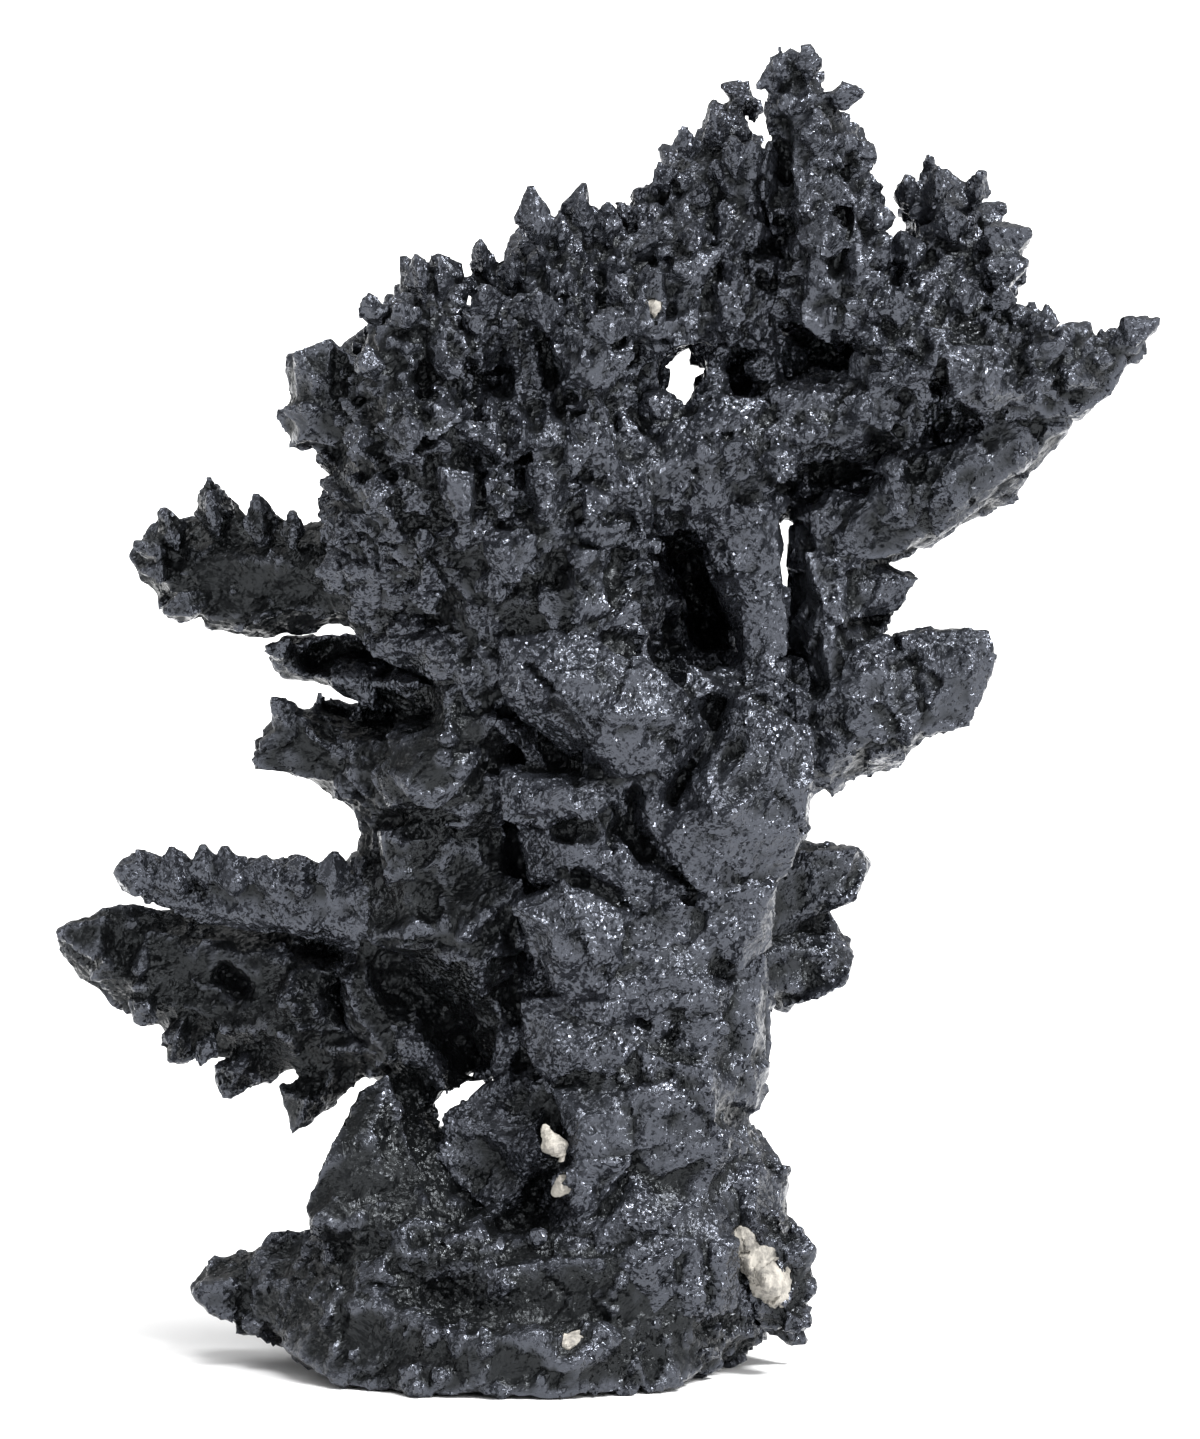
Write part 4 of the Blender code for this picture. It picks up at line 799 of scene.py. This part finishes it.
def grain(name):
    """A pale grain: the frame's solid and the slabs on it, remeshed finely as one, worn round
    and broken along the normals."""
    shells = [solid_arrays(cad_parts[name])] + slabs(name)
    points, normals, faces = voxelled(*joined(shells), GRAIN_VOXEL)
    lift = hollowness(points, normals, faces, WEAR_ROUNDS) * GRAIN_WEAR + GRAIN_SWELL * MM
    lift += broken(points, GRAIN_FACES, GRAIN_SEED)
    points = warped(points + normals * lift[:, None])
    mesh = new_mesh(name + "_skin", points, faces)
    mesh.shade_flat()
    return put(name + "_skin", mesh)


# --- materials ---
# sizes in mm; pairs run from the calm to the glittering, or from no painted shade to full painted shade
FACE_SIZE, GRAIN_SIZE, PATCH_SIZE = 1.2, 0.13, 4.0  # faces, tiny grains, glittering patches
WANDER = 0.9  # the faces' outlines wander by this, over as much
FACE_LEAN = 0.4  # how far the shading of a crystal face leans
GRAIN_LEAN = (0.45, 0.9)  # and that of a tiny grain
LINE_SIZE, LINE_DEPTH = 0.25, 0.12  # growth lines: width and depth
LINE_SQUEEZE = (1, 1, 0.22)  # the noise is squeezed so, which draws it out into lines
SHADE_TINT_RANGE = (0.4, 1.0)  # painted shade at which the darker tint and lower shine start, and at which they are full
PATCHED, BRIGHTER = (0.3, 1.0), (0.09, -0.05)  # what a painted shade from..to adds to the glittering patches
PATCH_EDGE = (0.41, 0.58)  # patches glitter more and more between these values
METALLIC = 0.72
# tints: the lit one, and the darker one of full painted shade
TINTS = ((0.046, 0.050, 0.061, 1), (0.0135, 0.0148, 0.016, 1))
SHINE = (0.5, 0.25)  # specular level, lowered by the painted shade
ROUGHNESS = (0.3, 0.18)
ROCK_TINTS = ((0.07, 0.066, 0.06, 1), (0.33, 0.31, 0.275, 1))
ROCK_MOTTLE = (0.32, 0.58)  # noise value at which the rock turns pale, from and to
ROCK_SPOTS, ROCK_UNEVEN = 0.7, 0.7  # size of the mottle's spots, and roughness of its noise
ROCK_ROUGHNESS = 0.7


def shader_of(name):
    """A new material, its node tree and its shader."""
    material = bpy.data.materials.new(name)
    material.use_nodes = True
    tree = material.node_tree
    return material, tree, tree.nodes["Principled BSDF"]


def fill(node, **values):
    """Sets a node's inputs; an underscore in a name stands for a space."""
    for name, value in values.items():
        node.inputs[name.replace("_", " ")].default_value = value


def range_node(tree, value, taken, given=(0, 1)):
    """The output of a Map Range node that takes value from the range `taken` to `given`."""
    node = tree.nodes.new("ShaderNodeMapRange")
    fill(node, From_Min=taken[0], From_Max=taken[1], To_Min=given[0], To_Max=given[1])
    tree.links.new(value, node.inputs["Value"])
    return node.outputs["Result"]


def vector_node(tree, operation, first, second=None):
    """The output of a vector operation on a socket and, where it takes two, a second socket or
    a value."""
    node = tree.nodes.new("ShaderNodeVectorMath")
    node.operation = operation
    tree.links.new(first, node.inputs[0])
    if isinstance(second, tuple):
        node.inputs[1].default_value = second
    elif second is not None:
        tree.links.new(second, node.inputs[1])
    return node.outputs[0]


def noise_node(tree, where, size, detail):
    """A noise texture whose spots are about `size` metres across."""
    node = tree.nodes.new("ShaderNodeTexNoise")
    fill(node, Scale=1 / size, Detail=detail)
    tree.links.new(where, node.inputs["Vector"])
    return node


def cells_node(tree, where, size):
    """One random colour, from -0.5 to 0.5, for each cell of about `size` metres."""
    node = tree.nodes.new("ShaderNodeTexVoronoi")
    fill(node, Scale=1 / size)
    tree.links.new(where, node.inputs["Vector"])
    return vector_node(tree, "SUBTRACT", node.outputs["Color"], (0.5,) * 3)


def tinted(tree, shader, share, tints):
    """The shader's colour blended from the first tint to the second by a socket."""
    tint = tree.nodes.new("ShaderNodeMix")
    tint.data_type = "RGBA"
    fill(tint, A=tints[0], B=tints[1])
    tree.links.new(share, tint.inputs["Factor"])
    tree.links.new(tint.outputs["Result"], shader.inputs["Base Color"])


def growth_lines(tree, where, lean):
    """Growth lines: each crystal face has its own direction, along which noise is drawn out."""
    turned = tree.nodes.new("ShaderNodeVectorRotate")
    tree.links.new(where, turned.inputs["Vector"])
    tree.links.new(lean, turned.inputs["Axis"])
    tree.links.new(range_node(tree, lean, (-0.5, 0.5), (0, 2 * math.pi)), turned.inputs["Angle"])
    drawn = vector_node(tree, "MULTIPLY", turned.outputs[0], LINE_SQUEEZE)
    return noise_node(tree, drawn, LINE_SIZE * MM, detail=3).outputs["Fac"]


def sulphide():
    """Dark blue-grey metal: calm patches and glittering ones. Painted shade from the mesh darkens
    the tint and lowers the shine in hollows and on shaded branches, and lightens them on branches
    given painted light. The normal leans by one random amount in each crystal face and by another
    in each tiny grain."""
    material, tree, shader = shader_of("dark_sulphide")
    nodes, links = tree.nodes, tree.links
    where = nodes.new("ShaderNodeTexCoord").outputs["Object"]
    wander = noise_node(tree, where, WANDER * MM, detail=2).outputs["Color"]
    wander = vector_node(tree, "MULTIPLY", wander, (WANDER * MM,) * 3)
    # painted shade from the mesh: it darkens the tint, lowers the shine and thins the glitter
    painted_shade = nodes.new("ShaderNodeAttribute")
    painted_shade.attribute_name = "painted_shade"
    shade_paint = range_node(tree, painted_shade.outputs["Fac"], SHADE_TINT_RANGE)
    spots = noise_node(tree, where, PATCH_SIZE * MM, detail=3)
    patches = nodes.new("ShaderNodeMath")
    links.new(spots.outputs["Fac"], patches.inputs[0])
    links.new(range_node(tree, painted_shade.outputs["Fac"], PATCHED, BRIGHTER), patches.inputs[1])
    glitter = range_node(tree, patches.outputs[0], PATCH_EDGE)

    face_lean = cells_node(tree, vector_node(tree, "ADD", where, wander), FACE_SIZE * MM)
    grain_lean = vector_node(tree, "MULTIPLY", cells_node(tree, where, GRAIN_SIZE * MM),
                             range_node(tree, glitter, (0, 1), GRAIN_LEAN))
    leant = vector_node(tree, "MULTIPLY", face_lean, (FACE_LEAN,) * 3)
    leant = vector_node(tree, "ADD", leant, grain_lean)
    leant = vector_node(tree, "ADD", leant, nodes.new("ShaderNodeNewGeometry").outputs["Normal"])
    lined = nodes.new("ShaderNodeBump")
    fill(lined, Distance=LINE_DEPTH * MM)
    links.new(growth_lines(tree, where, face_lean), lined.inputs["Height"])
    links.new(vector_node(tree, "NORMALIZE", leant), lined.inputs["Normal"])
    links.new(lined.outputs["Normal"], shader.inputs["Normal"])

    # the tint darkens with the painted shade
    tinted(tree, shader, shade_paint, TINTS)
    fill(shader, Metallic=METALLIC)
    links.new(range_node(tree, shade_paint, (0, 1), SHINE), shader.inputs["Specular IOR Level"])
    links.new(range_node(tree, glitter, (0, 1), ROUGHNESS), shader.inputs["Roughness"])
    return material


def pale():
    """Cream-grey rock, mottled and a little stained."""
    material, tree, shader = shader_of("pale_gangue")
    where = tree.nodes.new("ShaderNodeTexCoord").outputs["Object"]
    mottle = noise_node(tree, where, ROCK_SPOTS * MM, detail=5)
    fill(mottle, Roughness=ROCK_UNEVEN)
    tinted(tree, shader, range_node(tree, mottle.outputs["Fac"], ROCK_MOTTLE), ROCK_TINTS)
    fill(shader, Roughness=ROCK_ROUGHNESS)
    return material


# --- build ---
def grain_spot(name):
    """Middle of a pale grain, and its reach: half its longest side."""
    points = solid_arrays(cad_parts[name])[0]
    low, high = points.min(axis=0), points.max(axis=0)
    return (low + high) / 2, (high - low).max() / 2


GRAIN_NAMES = [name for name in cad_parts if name.startswith("grain")]
GRAINS = [grain_spot(name) for name in GRAIN_NAMES]
# a pit where each grain is set in: a crevice as short as a point
GRAIN_PITS = tuple((x / MM, (y * UP_IN_VIEW[1] + z * UP_IN_VIEW[2]) / MM + FOOT_LINE) * 2
                   + (reach / MM * PIT_WIDTH, PIT_DEPTH) for (x, y, z), reach in GRAINS)
dark = sulphide()
cream = pale()
for seed, (name, (habit, growth, shade_paint)) in enumerate(BRANCHES.items(), 1):
    slits = [row for row in APART if name in row]
    kept_apart = {other for row in slits for other in row[:2]} - {name}
    others = as_one([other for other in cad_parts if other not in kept_apart | {name}])
    apart = as_one(sorted(kept_apart))
    slit = max([row[2] for row in slits], default=0.0)
    piece = skin(name, habit, growth, shade_paint, seed, others, apart, slit)
    for helper in filter(None, (others, apart)):
        bpy.data.objects.remove(helper)
    piece.data.materials.append(dark)
    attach(piece, "root")
    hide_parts(name)
for name in GRAIN_NAMES:
    piece = grain(name)
    piece.data.materials.append(cream)
    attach(piece, "root")
    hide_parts(name)


# --- floor, light and camera ---
# lights: degrees right of the front, degrees above the floor, strength on a surface that
# faces the light, and width of the bright patch in degrees
LIGHTS = {
    "key": (56, 46, 4.8, 11),
    "top": (20, 76, 2.5, 34),
    "front": (30, 28, 1.6, 36),
    "left_back": (-130, 48, 0.6, 36),
}
SURROUND = (0.55, 1.0)  # strength for the light on things, and for the eye
FLOOR_GREY, FLOOR_ROUGHNESS = 0.95, 0.9


def floor():
    """A plain pale floor at the specimen's foot."""
    corners = np.array([(-1, -1, 0), (1, -1, 0), (1, 1, 0), (-1, 1, 0)]) * FLOOR_REACH
    ground = put("floor", new_mesh("floor", corners, np.array([(0, 1, 2, 3)])))
    material, _, shader = shader_of("pale_floor")
    fill(shader, Base_Color=(FLOOR_GREY,) * 3 + (1,), Roughness=FLOOR_ROUGHNESS)
    ground.data.materials.append(material)


def soft_light(name, across, above, strength, spread):
    """Even light from a patch of sky, as a row of LIGHTS gives it."""
    light = bpy.data.lights.new(name, "SUN")
    light.energy = strength
    light.angle = math.radians(spread)
    side, height = math.radians(across), math.radians(above)
    level = math.cos(height)
    source = Vector((math.sin(side) * level, -math.cos(side) * level, math.sin(height)))
    put(name, light).rotation_euler = source.to_track_quat("Z", "Y").to_euler()


def surround():
    """A white surround for the eye, and a dimmer one for the light that falls on things."""
    world = bpy.data.worlds.new("studio")
    world.use_nodes = True
    nodes, links = world.node_tree.nodes, world.node_tree.links
    fill(nodes["Background"], Color=(1, 1, 1, 1))
    strength = nodes.new("ShaderNodeMix")
    strength.data_type = "FLOAT"
    fill(strength, A=SURROUND[0], B=SURROUND[1])
    seen = nodes.new("ShaderNodeLightPath").outputs["Is Camera Ray"]
    links.new(seen, strength.inputs["Factor"])
    links.new(strength.outputs["Result"], nodes["Background"].inputs["Strength"])
    bpy.context.scene.world = world


def front_camera():
    """The camera in front, looking down by the view's tilt. Its lens is the sensor's size times
    the distance, over the height that the view takes in."""
    camera = bpy.data.cameras.new("front")
    camera.sensor_width = SENSOR
    camera.lens = SENSOR * CAMERA_DISTANCE / (VIEW_HEIGHT * MM)
    camera.clip_start, camera.clip_end = CAMERA_RANGE
    eye = put("front", camera)
    eye.location = Vector(place(*VIEW_MIDDLE, 0)) + TO_VIEWER * CAMERA_DISTANCE
    eye.rotation_euler = (-TO_VIEWER).to_track_quat("-Z", "Y").to_euler()
    bpy.context.scene.camera = eye


floor()
for name, row in LIGHTS.items():
    soft_light(name, *row)
surround()
front_camera()
bpy.context.scene.view_settings.view_transform = "Standard"
